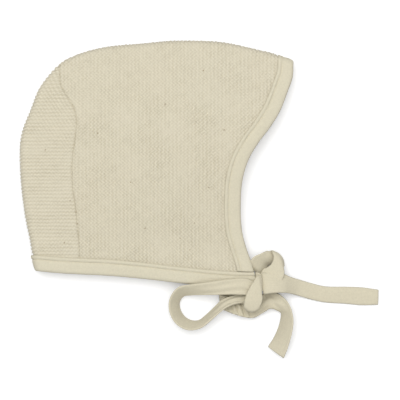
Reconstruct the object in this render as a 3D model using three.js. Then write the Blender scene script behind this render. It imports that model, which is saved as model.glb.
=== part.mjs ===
// Baby bonnet in cream knit, folded on its middle line and lying on its side.
// Millimetres, +Z up. X runs from the back of the head to the face, Y from the neck to the crown.
// The whole bonnet is one cloth surface: a lower layer on the ground, a hairpin round the fold,
// and an upper layer that stands off it. Each cloth piece is a patch of that surface with a wall.

import * as THREE from 'three';

// Named sizes
const BONNET_DEPTH = 178;
const BONNET_HEIGHT = 161;
const KNIT_WALL = 2.2;
const KNIT_WALL_IN_BAND = 1.4;
const FOLD_RADIUS = 3.2;
const SEAM_GAP = 0.3;
const FIT_GAP = 0.3;
const NECK_BAND_WIDTH = 10.6;
const FRONT_BAND_WIDTH = 11;
const BAND_LEG = 1.0;
const BAND_FLOOR = 2.2;
const TIE_WIDTH = 11;
const TIE_WALL = 1.8;
const SLOT_HALF = KNIT_WALL_IN_BAND / 2 + FIT_GAP;
const BAND_HALF = SLOT_HALF + BAND_LEG;
const KNIT_REST = KNIT_WALL / 2 + 0.05;
const BAND_REST = BAND_HALF + 0.35;
const CORNER_LIFT = BAND_HALF * 2 + 0.5;

const KNIT_COLOUR = 0xd7cfb8;
const JERSEY_COLOUR = 0xd6cbb0;

// Outlines of the folded bonnet, as shares of its depth and height.
// The fold runs from the nape, up the back and along the crown to the peak over the forehead.
const FOLD_LINE = [
  { forward: 0.061, up: 0.071 },
  { forward: 0.048, up: 0.131 },
  { forward: 0.037, up: 0.197 },
  { forward: 0.020, up: 0.286 },
  { forward: 0.005, up: 0.415 },
  { forward: 0.000, up: 0.508 },
  { forward: 0.001, up: 0.592 },
  { forward: 0.012, up: 0.649 },
  { forward: 0.039, up: 0.723 },
  { forward: 0.066, up: 0.800 },
  { forward: 0.095, up: 0.848 },
  { forward: 0.146, up: 0.908 },
  { forward: 0.192, up: 0.936 },
  { forward: 0.252, up: 0.959 },
  { forward: 0.321, up: 0.975 },
  { forward: 0.437, up: 0.987 },
  { forward: 0.578, up: 0.999 },
  { forward: 0.739, up: 0.992 },
  { forward: 0.879, up: 0.959 },
  { forward: 0.944, up: 0.939 },
  { forward: 0.998, up: 0.912 },
];
const FOLD_ROW_AT_TIP = 11;
const FRONT_EDGE = [
  { forward: 0.998, up: 0.912 },
  { forward: 0.995, up: 0.856 },
  { forward: 0.976, up: 0.795 },
  { forward: 0.948, up: 0.717 },
  { forward: 0.911, up: 0.650 },
  { forward: 0.871, up: 0.592 },
  { forward: 0.838, up: 0.532 },
  { forward: 0.819, up: 0.476 },
  { forward: 0.808, up: 0.415 },
  { forward: 0.805, up: 0.347 },
  { forward: 0.806, up: 0.278 },
  { forward: 0.812, up: 0.222 },
  { forward: 0.827, up: 0.161 },
  { forward: 0.846, up: 0.101 },
  { forward: 0.860, up: 0.036 },
  { forward: 0.863, up: 0.001 },
];
const NECK_EDGE = [
  { forward: 0.061, up: 0.071 },
  { forward: 0.137, up: 0.063 },
  { forward: 0.219, up: 0.058 },
  { forward: 0.327, up: 0.052 },
  { forward: 0.455, up: 0.039 },
  { forward: 0.586, up: 0.022 },
  { forward: 0.711, up: 0.008 },
  { forward: 0.802, up: 0.002 },
  { forward: 0.863, up: 0.001 },
];
const NECK_ROW_AT_SEAM = 2;
const SEAM_LINE = [
  { forward: 0.146, up: 0.908 },
  { forward: 0.142, up: 0.862 },
  { forward: 0.150, up: 0.814 },
  { forward: 0.170, up: 0.778 },
  { forward: 0.188, up: 0.746 },
  { forward: 0.202, up: 0.707 },
  { forward: 0.206, up: 0.667 },
  { forward: 0.201, up: 0.609 },
  { forward: 0.194, up: 0.556 },
  { forward: 0.190, up: 0.496 },
  { forward: 0.193, up: 0.395 },
  { forward: 0.202, up: 0.334 },
  { forward: 0.208, up: 0.260 },
  { forward: 0.214, up: 0.193 },
  { forward: 0.219, up: 0.058 },
];

// How far the upper layer puffs up off the lower one, beyond the hairpin's own height (mm).
const PUFFS = [
  { forward: 0.48, up: 0.58, spread: 0.34, rise: 5.2 },
  { forward: 0.82, up: 0.66, spread: 0.26, rise: 3.0 },
  { forward: 0.62, up: 0.18, spread: 0.26, rise: 1.6 },
  { forward: 0.20, up: 0.30, spread: 0.22, rise: 1.2 },
];

// Soft creases of the upper layer, each a shallow ridge (+) or dent (-).
const CREASES = [
  { forward: 0.915, up: 0.875, turn: 74, long: 0.10, wide: 0.016, rise: 0.7 },
  { forward: 0.880, up: 0.840, turn: 66, long: 0.11, wide: 0.018, rise: -0.6 },
  { forward: 0.300, up: 0.780, turn: 20, long: 0.20, wide: 0.050, rise: -0.5 },
  { forward: 0.450, up: 0.300, turn: 12, long: 0.24, wide: 0.060, rise: 0.5 },
  { forward: 0.120, up: 0.450, turn: 80, long: 0.22, wide: 0.040, rise: -0.4 },
];

// Plan curves
function planCurve(rows) {
  const points = rows.map((row) => new THREE.Vector3(row.forward * BONNET_DEPTH, row.up * BONNET_HEIGHT, 0));
  const curve = new THREE.CatmullRomCurve3(points, false, 'centripetal');
  curve.arcLengthDivisions = 600;
  return curve;
}

// One stretch of a plan curve, met by arc length from one of its ends.
function stretch(curve, from, to) {
  return (share) => curve.getPointAt(Math.min(1, Math.max(0, from + (to - from) * share)));
}

// The share of the arc length at which a curve reaches one of its rows.
function shareAtRow(curve, row, rows) {
  const lengths = curve.getLengths();
  const at = Math.round((row / (rows.length - 1)) * (lengths.length - 1));
  return lengths[at] / lengths[lengths.length - 1];
}

const foldCurve = planCurve(FOLD_LINE);
const frontCurve = planCurve(FRONT_EDGE);
const neckCurve = planCurve(NECK_EDGE);
const seamCurve = planCurve(SEAM_LINE);
const tipShare = shareAtRow(foldCurve, FOLD_ROW_AT_TIP, FOLD_LINE);
const seamFootShare = shareAtRow(neckCurve, NECK_ROW_AT_SEAM, NECK_EDGE);

const crownFold = stretch(foldCurve, tipShare, 1);
const backFold = stretch(foldCurve, tipShare, 0);
const crownNeck = stretch(neckCurve, seamFootShare, 1);
const backNeck = stretch(neckCurve, 0, seamFootShare);
const front = stretch(frontCurve, 0, 1);
const seam = stretch(seamCurve, 0, 1);

const foldPoints = foldCurve.getSpacedPoints(400);
const neckPoints = neckCurve.getSpacedPoints(160);
const frontPoints = frontCurve.getSpacedPoints(160);

// Distance in plan from a point to a chain of points.
function distanceTo(chain, point) {
  let best = Infinity;
  for (let i = 0; i + 1 < chain.length; i += 1) {
    const a = chain[i];
    const b = chain[i + 1];
    const dx = b.x - a.x;
    const dy = b.y - a.y;
    const along = ((point.x - a.x) * dx + (point.y - a.y) * dy) / (dx * dx + dy * dy);
    const t = Math.min(1, Math.max(0, along));
    best = Math.min(best, Math.hypot(point.x - a.x - dx * t, point.y - a.y - dy * t));
  }
  return best;
}

function ease(low, high, value) {
  const t = Math.min(1, Math.max(0, (value - low) / (high - low)));
  return t * t * (3 - 2 * t);
}

// Height of the middle of the cloth at a plan point, on the upper (+1) or lower (-1) layer.
function clothHeight(point, side, depth) {
  const edge = Math.min(distanceTo(neckPoints, point), distanceTo(frontPoints, point));
  const rest = KNIT_REST + (BAND_REST - KNIT_REST) * (1 - ease(NECK_BAND_WIDTH, NECK_BAND_WIDTH * 2.4, edge));
  const inside = Math.min(depth, FOLD_RADIUS);
  const half = Math.sqrt(FOLD_RADIUS * FOLD_RADIUS - (FOLD_RADIUS - inside) ** 2);
  if (side < 0) {
    return rest + FOLD_RADIUS - half;
  }
  const x = point.x / BONNET_DEPTH;
  const y = point.y / BONNET_HEIGHT;
  const corner = NECK_EDGE[NECK_EDGE.length - 1];
  const fromCorner = Math.hypot(x - corner.forward, y - corner.up);
  let lift = 0;
  for (const puff of PUFFS) {
    const away = Math.hypot(x - puff.forward, y - puff.up) / puff.spread;
    lift += puff.rise * Math.exp(-away * away);
  }
  for (const crease of CREASES) {
    const turn = THREE.MathUtils.degToRad(crease.turn);
    const dx = x - crease.forward;
    const dy = y - crease.up;
    const along = (dx * Math.cos(turn) + dy * Math.sin(turn)) / crease.long;
    const across = (dy * Math.cos(turn) - dx * Math.sin(turn)) / crease.wide;
    lift += crease.rise * Math.exp(-along * along - across * across);
  }
  lift *= ease(0, FOLD_RADIUS * 8, depth);
  const free = ease(0, 0.55, fromCorner);
  const drop = CORNER_LIFT - FOLD_RADIUS * 2;
  return rest + FOLD_RADIUS + half + lift * free + drop * (1 - free);
}

// Share of the way down from the fold for a share of the cloth's own length round the hairpin.
function depthShare(share, length) {
  const radius = Math.min(FOLD_RADIUS, length * 0.6);
  const quarter = (radius * Math.PI) / 2;
  const run = share * (quarter + length - radius);
  if (run < quarter) {
    return (radius * (1 - Math.cos(run / radius))) / length;
  }
  return (radius + run - quarter) / length;
}

function clothPoint(plan, side, down) {
  const depth = down <= 0 ? 0 : distanceTo(foldPoints, plan);
  return new THREE.Vector3(plan.x, plan.y, clothHeight(plan, side, depth));
}

function chainLength(at) {
  let length = 0;
  let last = at(0);
  for (let i = 1; i <= 40; i += 1) {
    const next = at(i / 40);
    length += next.distanceTo(last);
    last = next;
  }
  return length;
}

// Crown panel patch: a from the seam (0) to the face edge (1), b from the fold (0) to the neck (1).
function crownPlan(a, b) {
  const c00 = crownFold(0);
  const c10 = crownFold(1);
  const c01 = crownNeck(0);
  const c11 = crownNeck(1);
  const point = crownFold(a).clone().multiplyScalar(1 - b);
  point.addScaledVector(crownNeck(a), b);
  point.addScaledVector(seam(b), 1 - a);
  point.addScaledVector(front(b), a);
  point.addScaledVector(c00, -(1 - a) * (1 - b));
  point.addScaledVector(c10, -a * (1 - b));
  point.addScaledVector(c01, -(1 - a) * b);
  point.addScaledVector(c11, -a * b);
  return point;
}

// Lengths of the crown patch down its columns and along its rows, kept in short tables.
const STEPS = 48;
const crownDown = [];
const crownAlong = [];
for (let i = 0; i <= STEPS; i += 1) {
  crownDown.push(chainLength((b) => crownPlan(i / STEPS, b)));
  crownAlong.push(chainLength((a) => crownPlan(a, i / STEPS)));
}

function between(table, share) {
  const at = Math.min(1, Math.max(0, share)) * STEPS;
  const i = Math.min(STEPS - 1, Math.floor(at));
  return table[i] + (table[i + 1] - table[i]) * (at - i);
}

// v runs from the lower layer's neck edge (-1) round the fold (0) to the upper layer's (+1).
function crownMap(a, v) {
  const down = depthShare(Math.abs(v), between(crownDown, a));
  return clothPoint(crownPlan(a, down), v < 0 ? -1 : 1, down);
}

// Back panel patch: t from its tip (0) to the neck (1), c from the lower seam (-1) to the upper (+1).
function backMap(c, t) {
  const edge = backFold(t);
  const side = seam(t);
  const length = Math.max(edge.distanceTo(side), 0.001);
  const down = depthShare(Math.abs(c), length);
  const plan = edge.clone().lerp(side, down);
  const foot = backFold(1).clone().lerp(seam(1), down);
  const onNeck = backNeck(down).clone().sub(foot);
  plan.addScaledVector(onNeck, t * t);
  return clothPoint(plan, c < 0 ? -1 : 1, down);
}

// Unit normal of a mapped surface, by small steps to both sides.
function normalOf(map, u, v) {
  const step = 0.004;
  const du = map(Math.min(1, u + step), v).sub(map(Math.max(u - step, -1), v));
  const dv = map(u, Math.min(1, v + step)).sub(map(u, Math.max(v - step, -1)));
  return du.cross(dv).normalize();
}

// Solids
function solidFrom(points, faces) {
  const geometry = new THREE.BufferGeometry();
  const flat = [];
  for (const point of points) {
    flat.push(point.x, point.y, point.z);
  }
  let volume = 0;
  for (const [i, j, k] of faces) {
    volume += points[i].dot(points[j].clone().cross(points[k]));
  }
  const index = [];
  for (const [i, j, k] of faces) {
    if (volume > 0) {
      index.push(i, j, k);
    } else {
      index.push(i, k, j);
    }
  }
  geometry.setAttribute('position', new THREE.Float32BufferAttribute(flat, 3));
  geometry.setIndex(index);
  geometry.computeVertexNormals();
  return geometry;
}

function quad(faces, a, b, c, d) {
  faces.push([a, b, c]);
  faces.push([a, c, d]);
}

// A walled sheet: rows and columns of middle points with normals and wall thicknesses.
function sheetSolid(rows) {
  const points = [];
  const faces = [];
  const high = rows.length;
  const wide = rows[0].length;
  for (const side of [0.5, -0.5]) {
    for (const row of rows) {
      for (const cell of row) {
        points.push(cell.at.clone().addScaledVector(cell.normal, side * cell.wall));
      }
    }
  }
  const id = (layer, i, j) => layer * high * wide + i * wide + j;
  for (let i = 0; i + 1 < high; i += 1) {
    for (let j = 0; j + 1 < wide; j += 1) {
      quad(faces, id(0, i, j), id(0, i, j + 1), id(0, i + 1, j + 1), id(0, i + 1, j));
      quad(faces, id(1, i, j), id(1, i + 1, j), id(1, i + 1, j + 1), id(1, i, j + 1));
    }
  }
  for (let j = 0; j + 1 < wide; j += 1) {
    quad(faces, id(0, 0, j + 1), id(0, 0, j), id(1, 0, j), id(1, 0, j + 1));
    quad(faces, id(0, high - 1, j), id(0, high - 1, j + 1), id(1, high - 1, j + 1), id(1, high - 1, j));
  }
  for (let i = 0; i + 1 < high; i += 1) {
    quad(faces, id(0, i, 0), id(0, i + 1, 0), id(1, i + 1, 0), id(1, i, 0));
    quad(faces, id(0, i + 1, wide - 1), id(0, i, wide - 1), id(1, i, wide - 1), id(1, i + 1, wide - 1));
  }
  return solidFrom(points, faces);
}

// A swept solid: equal rings of points, closed at both ends by a fan round their middle.
function sweptSolid(rings) {
  const points = [];
  const faces = [];
  const round = rings[0].length;
  for (const ring of rings) {
    for (const point of ring) {
      points.push(point);
    }
  }
  for (let i = 0; i + 1 < rings.length; i += 1) {
    for (let j = 0; j < round; j += 1) {
      const next = (j + 1) % round;
      quad(faces, i * round + j, i * round + next, (i + 1) * round + next, (i + 1) * round + j);
    }
  }
  return { points, faces, round };
}

// Knit panels. Inside the bindings the knit is squeezed thinner and stops short of the channel's floor.
function wallAt(point) {
  const neck = distanceTo(neckPoints, point) - NECK_BAND_WIDTH;
  const face = distanceTo(frontPoints, point) - FRONT_BAND_WIDTH;
  const out = ease(0.4, 3.2, Math.min(neck, face));
  return KNIT_WALL_IN_BAND + (KNIT_WALL - KNIT_WALL_IN_BAND) * out;
}

function crownPanel() {
  const rows = [];
  const across = 20;
  const bend = [0, 1.7, 3.4, 5.1];
  for (let i = 0; i <= across; i += 1) {
    const row = [];
    const inset = BAND_FLOOR + FIT_GAP;
    const lengths = (v) => between(crownAlong, depthShare(Math.abs(v), crownDown[0]));
    const span = between(crownDown, i / across) + FOLD_RADIUS * (Math.PI / 2 - 1);
    const last = 1 - inset / span;
    const stations = [...bend.map((run) => run / span)];
    const body = 15;
    const start = bend[bend.length - 1] / span;
    const bandIn = 1 - (NECK_BAND_WIDTH + 3.4) / span;
    const bandOut = 1 - (NECK_BAND_WIDTH + 0.4) / span;
    for (let k = 1; k <= body; k += 1) {
      stations.push(start + ((bandIn - start) * k) / body);
    }
    stations.push(bandOut);
    stations.push(last);
    const both = [...stations.slice(1).reverse().map((v) => -v), ...stations];
    for (const v of both) {
      const along = lengths(v);
      const from = SEAM_GAP / 2 / along;
      const to = 1 - inset / along;
      const bandA = 1 - (FRONT_BAND_WIDTH + 3.4) / along;
      const bandB = 1 - (FRONT_BAND_WIDTH + 0.4) / along;
      let a = from + ((bandA - from) * i) / (across - 2);
      if (i === across - 1) {
        a = bandB;
      }
      if (i === across) {
        a = to;
      }
      const at = crownMap(a, v);
      row.push({ at, normal: normalOf(crownMap, a, v), wall: wallAt(at) });
    }
    rows.push(row);
  }
  return sheetSolid(rows);
}

function backPanel() {
  const rows = [];
  const down = 16;
  const tall = chainLength(seam);
  for (let i = 0; i <= down; i += 1) {
    let t = 0.02 + 0.98 * (i / (down - 2)) ** 1.25 * (1 - (NECK_BAND_WIDTH + 3.4) / tall - 0.02);
    if (i === down - 1) {
      t = 1 - (NECK_BAND_WIDTH + 0.4) / tall;
    }
    if (i === down) {
      t = 1 - (BAND_FLOOR + FIT_GAP) / tall;
    }
    const wide = Math.max(backFold(t).distanceTo(seam(t)), 0.5) + FOLD_RADIUS * 0.4;
    const edge = 1 - SEAM_GAP / 2 / wide;
    const row = [];
    for (let k = -11; k <= 11; k += 1) {
      const share = Math.abs(k) / 11;
      const near = Math.min(0.9, 1.7 / wide);
      const spread = share <= 3 / 11 ? share * 11 * near * 1 : 0;
      const base = Math.min(0.6, 3 * near);
      const c = share <= 3 / 11
        ? Math.min(spread, base * share * (11 / 3))
        : base + (1 - base) * ((share - 3 / 11) / (8 / 11));
      const signed = Math.sign(k) * c * edge;
      const at = backMap(signed, t);
      row.push({ at, normal: normalOf(backMap, signed, t), wall: wallAt(at) });
    }
    rows.push(row);
  }
  return sheetSolid(rows);
}

// Bindings. One section, from the inner lip over the edge and back, with the slot for the knit.
// inward: distance from the finished edge. out: distance from the middle of the cloth.
function bandSection(width) {
  const upper = [
    { inward: width, out: SLOT_HALF },
    { inward: width, out: SLOT_HALF + BAND_LEG * 0.75 },
    { inward: width - 1.3, out: BAND_HALF + 0.3 },
    { inward: width - 2.7, out: BAND_HALF - 0.35 },
    { inward: width - 3.8, out: BAND_HALF },
    { inward: 1.6, out: BAND_HALF },
    { inward: 0.4, out: BAND_HALF * 0.62 },
  ];
  const lower = upper.map((row) => ({ inward: row.inward, out: -row.out })).reverse();
  const floor = [
    { inward: BAND_FLOOR, out: -SLOT_HALF },
    { inward: BAND_FLOOR, out: SLOT_HALF },
  ];
  return [...upper, { inward: 0, out: 0 }, ...lower, ...floor];
}

// Closes the two ends of a channel: the section is not convex, so its pairs are bridged in strips.
function channelSolid(rings) {
  const { points, faces, round } = sweptSolid(rings);
  const strips = [];
  const slotUp = round - 1;
  const slotDown = round - 2;
  strips.push([0, 1, 2], [0, 2, 3], [0, 3, 4], [0, 4, slotUp], [4, 5, slotUp], [5, 6, slotUp], [6, 7, slotUp]);
  strips.push([7, slotDown, slotUp]);
  strips.push([7, 8, slotDown], [8, 9, slotDown], [9, 10, slotDown], [10, 14, slotDown]);
  strips.push([10, 11, 14], [11, 12, 14], [12, 13, 14]);
  const last = (rings.length - 1) * round;
  for (const [i, j, k] of strips) {
    faces.push([i, k, j]);
    faces.push([last + i, last + j, last + k]);
  }
  return solidFrom(points, faces);
}

function frontBand() {
  const section = bandSection(FRONT_BAND_WIDTH);
  const rings = [];
  const span = between(crownDown, 1) + FOLD_RADIUS * (Math.PI / 2 - 1);
  const last = 1 - (NECK_BAND_WIDTH + FIT_GAP) / span;
  const bend = [0, 1.7, 3.4, 5.1].map((run) => run / span);
  const stations = [...bend];
  const body = 24;
  for (let k = 1; k <= body; k += 1) {
    stations.push(bend[3] + ((last - bend[3]) * k) / body);
  }
  const both = [...stations.slice(1).reverse().map((v) => -v), ...stations];
  for (const v of both) {
    const along = between(crownAlong, depthShare(Math.abs(v), crownDown[STEPS]));
    rings.push(section.map((row) => {
      const a = 1 - row.inward / along;
      return crownMap(a, v).addScaledVector(normalOf(crownMap, a, v), row.out);
    }));
  }
  return channelSolid(rings);
}

function neckBand() {
  const section = bandSection(NECK_BAND_WIDTH);
  const rings = [];
  const tall = chainLength(seam);
  const body = 21;
  const crownRing = (a, side) => section.map((row) => {
    const span = between(crownDown, a) + FOLD_RADIUS * (Math.PI / 2 - 1);
    const v = side * (1 - row.inward / span);
    return crownMap(a, v).addScaledVector(normalOf(crownMap, a, v), row.out);
  });
  const backRing = (c) => section.map((row) => {
    const t = 1 - row.inward / tall;
    return backMap(c, t).addScaledVector(normalOf(backMap, c, t), row.out);
  });
  for (let k = 0; k <= body; k += 1) {
    rings.push(crownRing(1 - (k / body) * 0.985, 1));
  }
  const backStations = [0.86, 0.7, 0.54, 0.38, 0.25, 0.15, 0.1, 0.05];
  for (const c of backStations) {
    rings.push(backRing(c));
  }
  rings.push(backRing(0));
  for (const c of [...backStations].reverse()) {
    rings.push(backRing(-c));
  }
  for (let k = body; k >= 0; k -= 1) {
    rings.push(crownRing(1 - (k / body) * 0.985, -1));
  }
  return channelSolid(rings);
}

// Ties. One row a station along the tape, measured in tie widths from the bonnet's front lower corner:
// out (towards the face), up (towards the crown), high (off the ground), the turn of the tape's width
// in plan (degrees from +X), its lean (degrees, + with the inner end high) and how wide it is.
const TIE_UPPER_ROWS = [
  { out: 0.10, up: 0.46, high: 0.62, turn: 90, lean: 0, wide: 0.95 },
  { out: 0.27, up: 0.35, high: 0.89, turn: 93, lean: 0, wide: 0.97 },
  { out: 0.15, up: 0.27, high: 1.15, turn: 105, lean: 0, wide: 1.00 },
  { out: 0.05, up: -0.04, high: 1.17, turn: 125, lean: 0, wide: 1.01 },
  { out: -0.11, up: -0.43, high: 1.17, turn: 145, lean: 0, wide: 1.04 },
  { out: -0.25, up: -0.83, high: 1.14, turn: 164, lean: 0, wide: 1.00 },
  { out: -0.32, up: -1.12, high: 1.02, turn: 174, lean: 0, wide: 0.95 },
  { out: -0.38, up: -0.92, high: 0.89, turn: 173, lean: 0, wide: 0.86 },
  { out: -0.41, up: -0.54, high: 0.90, turn: 188, lean: 0, wide: 0.84 },
  { out: -0.56, up: -0.09, high: 0.93, turn: 227, lean: 0, wide: 0.94 },
  { out: -0.94, up: 0.12, high: 0.94, turn: 254, lean: 0, wide: 0.99 },
  { out: -1.61, up: 0.11, high: 0.97, turn: 268, lean: -4, wide: 0.92 },
  { out: -2.40, up: 0.05, high: 1.02, turn: 270, lean: -14, wide: 0.86 },
  { out: -3.20, up: -0.02, high: 0.98, turn: 275, lean: -28, wide: 0.83 },
  { out: -3.92, up: -0.09, high: 0.78, turn: 283, lean: -42, wide: 0.91 },
  { out: -4.49, up: -0.22, high: 0.63, turn: 300, lean: -50, wide: 1.05 },
  { out: -4.84, up: -0.71, high: 0.56, turn: 340, lean: -54, wide: 1.05 },
  { out: -4.84, up: -1.31, high: 0.54, turn: 5, lean: -52, wide: 1.05 },
  { out: -4.53, up: -1.88, high: 0.53, turn: 37, lean: -54, wide: 1.05 },
  { out: -3.99, up: -2.19, high: 0.53, turn: 69, lean: -57, wide: 1.00 },
  { out: -3.38, up: -2.12, high: 0.54, turn: 109, lean: -62, wide: 0.90 },
  { out: -2.81, up: -1.70, high: 0.57, turn: 140, lean: -62, wide: 0.90 },
  { out: -2.36, up: -1.30, high: 0.65, turn: 142, lean: -58, wide: 0.84 },
  { out: -1.91, up: -0.92, high: 0.78, turn: 130, lean: -45, wide: 0.72 },
  { out: -1.37, up: -0.70, high: 0.71, turn: 111, lean: -30, wide: 0.60 },
  { out: -0.77, up: -0.58, high: 0.60, turn: 96, lean: -10, wide: 0.61 },
  { out: -0.24, up: -0.48, high: 0.57, turn: 93, lean: 0, wide: 0.70 },
  { out: -0.04, up: -0.49, high: 0.35, turn: 90, lean: 0, wide: 0.71 },
  { out: -0.25, up: -0.52, high: 0.12, turn: 92, lean: 0, wide: 0.76 },
  { out: -1.07, up: -0.62, high: 0.11, turn: 94, lean: 0, wide: 0.88 },
  { out: -1.89, up: -0.72, high: 0.11, turn: 99, lean: 0, wide: 0.93 },
  { out: -2.10, up: -0.80, high: 0.22, turn: 100, lean: 0, wide: 0.96 },
  { out: -1.89, up: -0.90, high: 0.33, turn: 98, lean: 0, wide: 0.95 },
  { out: -1.32, up: -1.11, high: 0.33, turn: 91, lean: 0, wide: 0.93 },
  { out: -0.70, up: -1.29, high: 0.31, turn: 88, lean: 0, wide: 0.82 },
  { out: -0.14, up: -1.39, high: 0.29, turn: 87, lean: 4, wide: 0.74 },
  { out: 0.33, up: -1.12, high: 0.34, turn: 93, lean: 26, wide: 0.76 },
  { out: 0.81, up: -0.86, high: 0.38, turn: 86, lean: 44, wide: 0.73 },
  { out: 1.25, up: -0.86, high: 0.40, turn: 60, lean: 50, wide: 0.85 },
  { out: 1.58, up: -1.11, high: 0.41, turn: 35, lean: 48, wide: 0.82 },
  { out: 1.81, up: -1.42, high: 0.40, turn: 9, lean: 44, wide: 0.87 },
  { out: 1.82, up: -1.89, high: 0.35, turn: -7, lean: 36, wide: 0.96 },
  { out: 1.66, up: -2.54, high: 0.21, turn: -5, lean: 12, wide: 1.00 },
  { out: 1.44, up: -3.19, high: 0.10, turn: -8, lean: 0, wide: 1.06 },
  { out: 1.18, up: -3.84, high: 0.09, turn: -24, lean: 0, wide: 1.08 },
];
const TIE_LOWER_ROWS = [
  { out: 0.06, up: 0.46, high: 0.20, turn: 90, lean: 0, wide: 0.95 },
  { out: 0.40, up: 0.59, high: 0.16, turn: 125, lean: 0, wide: 0.96 },
  { out: 0.52, up: 0.92, high: 0.14, turn: 159, lean: 0, wide: 0.90 },
  { out: 0.45, up: 1.18, high: 0.15, turn: 169, lean: 3, wide: 0.98 },
  { out: 0.33, up: 1.54, high: 0.24, turn: 158, lean: 12, wide: 1.24 },
  { out: 0.63, up: 1.76, high: 0.29, turn: 136, lean: 20, wide: 1.04 },
  { out: 0.97, up: 1.79, high: 0.27, turn: 126, lean: 12, wide: 1.12 },
  { out: 1.19, up: 1.70, high: 0.24, turn: 128, lean: 4, wide: 1.25 },
  { out: 1.30, up: 1.78, high: 0.40, turn: 128, lean: 2, wide: 1.25 },
  { out: 1.28, up: 1.67, high: 0.56, turn: 125, lean: 2, wide: 1.16 },
  { out: 1.36, up: 1.41, high: 0.57, turn: 124, lean: 2, wide: 1.07 },
  { out: 1.24, up: 0.98, high: 0.55, turn: 125, lean: 2, wide: 1.08 },
  { out: 0.91, up: 0.59, high: 0.51, turn: 110, lean: 0, wide: 1.14 },
  { out: 0.64, up: 0.48, high: 0.50, turn: 93, lean: 0, wide: 1.10 },
  { out: 0.46, up: 0.45, high: 0.66, turn: 90, lean: 0, wide: 1.10 },
  { out: 0.61, up: 0.46, high: 0.84, turn: 90, lean: 0, wide: 1.20 },
  { out: 1.03, up: 0.46, high: 0.85, turn: 90, lean: 0, wide: 1.28 },
  { out: 1.58, up: 0.32, high: 0.77, turn: 89, lean: 0, wide: 1.11 },
  { out: 2.02, up: 0.17, high: 0.49, turn: 89, lean: 0, wide: 0.99 },
  { out: 2.54, up: 0.01, high: 0.25, turn: 84, lean: 0, wide: 0.96 },
  { out: 3.20, up: -0.19, high: 0.13, turn: 84, lean: 0, wide: 0.96 },
  { out: 4.06, up: -0.39, high: 0.09, turn: 85, lean: 0, wide: 0.95 },
  { out: 5.33, up: -0.45, high: 0.09, turn: 89, lean: 0, wide: 1.01 },
  { out: 6.28, up: -0.51, high: 0.09, turn: 89, lean: 0, wide: 1.06 },
  { out: 7.29, up: -0.57, high: 0.09, turn: 88, lean: 0, wide: 0.90 },
];

// A smooth value between the rows of a column, with the rows' own spacing.
function smoothColumn(knots, values, at) {
  let i = 0;
  while (i < knots.length - 2 && knots[i + 1] < at) {
    i += 1;
  }
  const h = knots[i + 1] - knots[i];
  const slope = (k) => {
    if (k <= 0 || k >= knots.length - 1) {
      const j = Math.min(Math.max(k, 0), knots.length - 2);
      const from = k <= 0 ? 0 : j;
      return (values[from + 1] - values[from]) / (knots[from + 1] - knots[from]);
    }
    const left = (values[k] - values[k - 1]) / (knots[k] - knots[k - 1]);
    const right = (values[k + 1] - values[k]) / (knots[k + 1] - knots[k]);
    const wl = knots[k + 1] - knots[k];
    const wr = knots[k] - knots[k - 1];
    return (left * wl + right * wr) / (wl + wr);
  };
  const t = (at - knots[i]) / h;
  const t2 = t * t;
  const t3 = t2 * t;
  return (
    (2 * t3 - 3 * t2 + 1) * values[i]
    + (t3 - 2 * t2 + t) * h * slope(i)
    + (-2 * t3 + 3 * t2) * values[i + 1]
    + (t3 - t2) * h * slope(i + 1)
  );
}

function tapeSolid(rows, perRow) {
  const corner = NECK_EDGE[NECK_EDGE.length - 1];
  const home = new THREE.Vector3(corner.forward * BONNET_DEPTH, corner.up * BONNET_HEIGHT, 0);
  const turns = [];
  rows.forEach((row, i) => {
    let turn = row.turn;
    while (i > 0 && turn < turns[i - 1] - 180) {
      turn += 360;
    }
    while (i > 0 && turn > turns[i - 1] + 180) {
      turn -= 360;
    }
    turns.push(turn);
  });
  const at = rows.map((row) => new THREE.Vector3(row.out, row.up, row.high).multiplyScalar(TIE_WIDTH).add(home));
  const knots = [0];
  for (let i = 1; i < at.length; i += 1) {
    knots.push(knots[i - 1] + Math.sqrt(at[i].distanceTo(at[i - 1])));
  }
  const column = (values, knot) => smoothColumn(knots, values, knot);
  const place = (knot) => new THREE.Vector3(
    column(at.map((p) => p.x), knot),
    column(at.map((p) => p.y), knot),
    column(at.map((p) => p.z), knot),
  );
  const stations = [];
  for (let i = 0; i + 1 < rows.length; i += 1) {
    for (let k = 0; k < perRow; k += 1) {
      stations.push(knots[i] + ((knots[i + 1] - knots[i]) * k) / perRow);
    }
  }
  stations.push(knots[knots.length - 1]);
  const end = knots[knots.length - 1];
  const section = [
    [-0.44, 0.5], [0.44, 0.5], [0.5, 0.18], [0.5, -0.18],
    [0.44, -0.5], [-0.44, -0.5], [-0.5, -0.18], [-0.5, 0.18],
  ];
  let before = null;
  const rings = stations.map((knot) => {
    const middle = place(knot);
    const ahead = place(Math.min(end, knot + 0.02)).sub(place(Math.max(0, knot - 0.02))).normalize();
    const turn = THREE.MathUtils.degToRad(column(turns, knot));
    const lean = THREE.MathUtils.degToRad(column(rows.map((row) => row.lean), knot));
    const wide = column(rows.map((row) => row.wide), knot) * TIE_WIDTH;
    const width = new THREE.Vector3(
      Math.cos(turn) * Math.cos(lean),
      Math.sin(turn) * Math.cos(lean),
      Math.sin(lean),
    );
    const normal = ahead.clone().cross(width).normalize();
    if (before && before.dot(normal) < 0) {
      normal.negate();
    }
    before = normal;
    return section.map(([w, n]) => middle.clone()
      .addScaledVector(width, w * wide)
      .addScaledVector(normal, n * TIE_WALL));
  });
  const { points, faces, round } = sweptSolid(rings);
  const last = (rings.length - 1) * round;
  for (const [i, j, k] of [[0, 1, 2], [0, 2, 3], [0, 3, 4], [0, 4, 5], [0, 5, 6], [0, 6, 7]]) {
    faces.push([i, k, j]);
    faces.push([last + i, last + j, last + k]);
  }
  return solidFrom(points, faces);
}

// The assembly
const bonnet = new THREE.Group();
bonnet.name = 'baby_bonnet';

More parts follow.
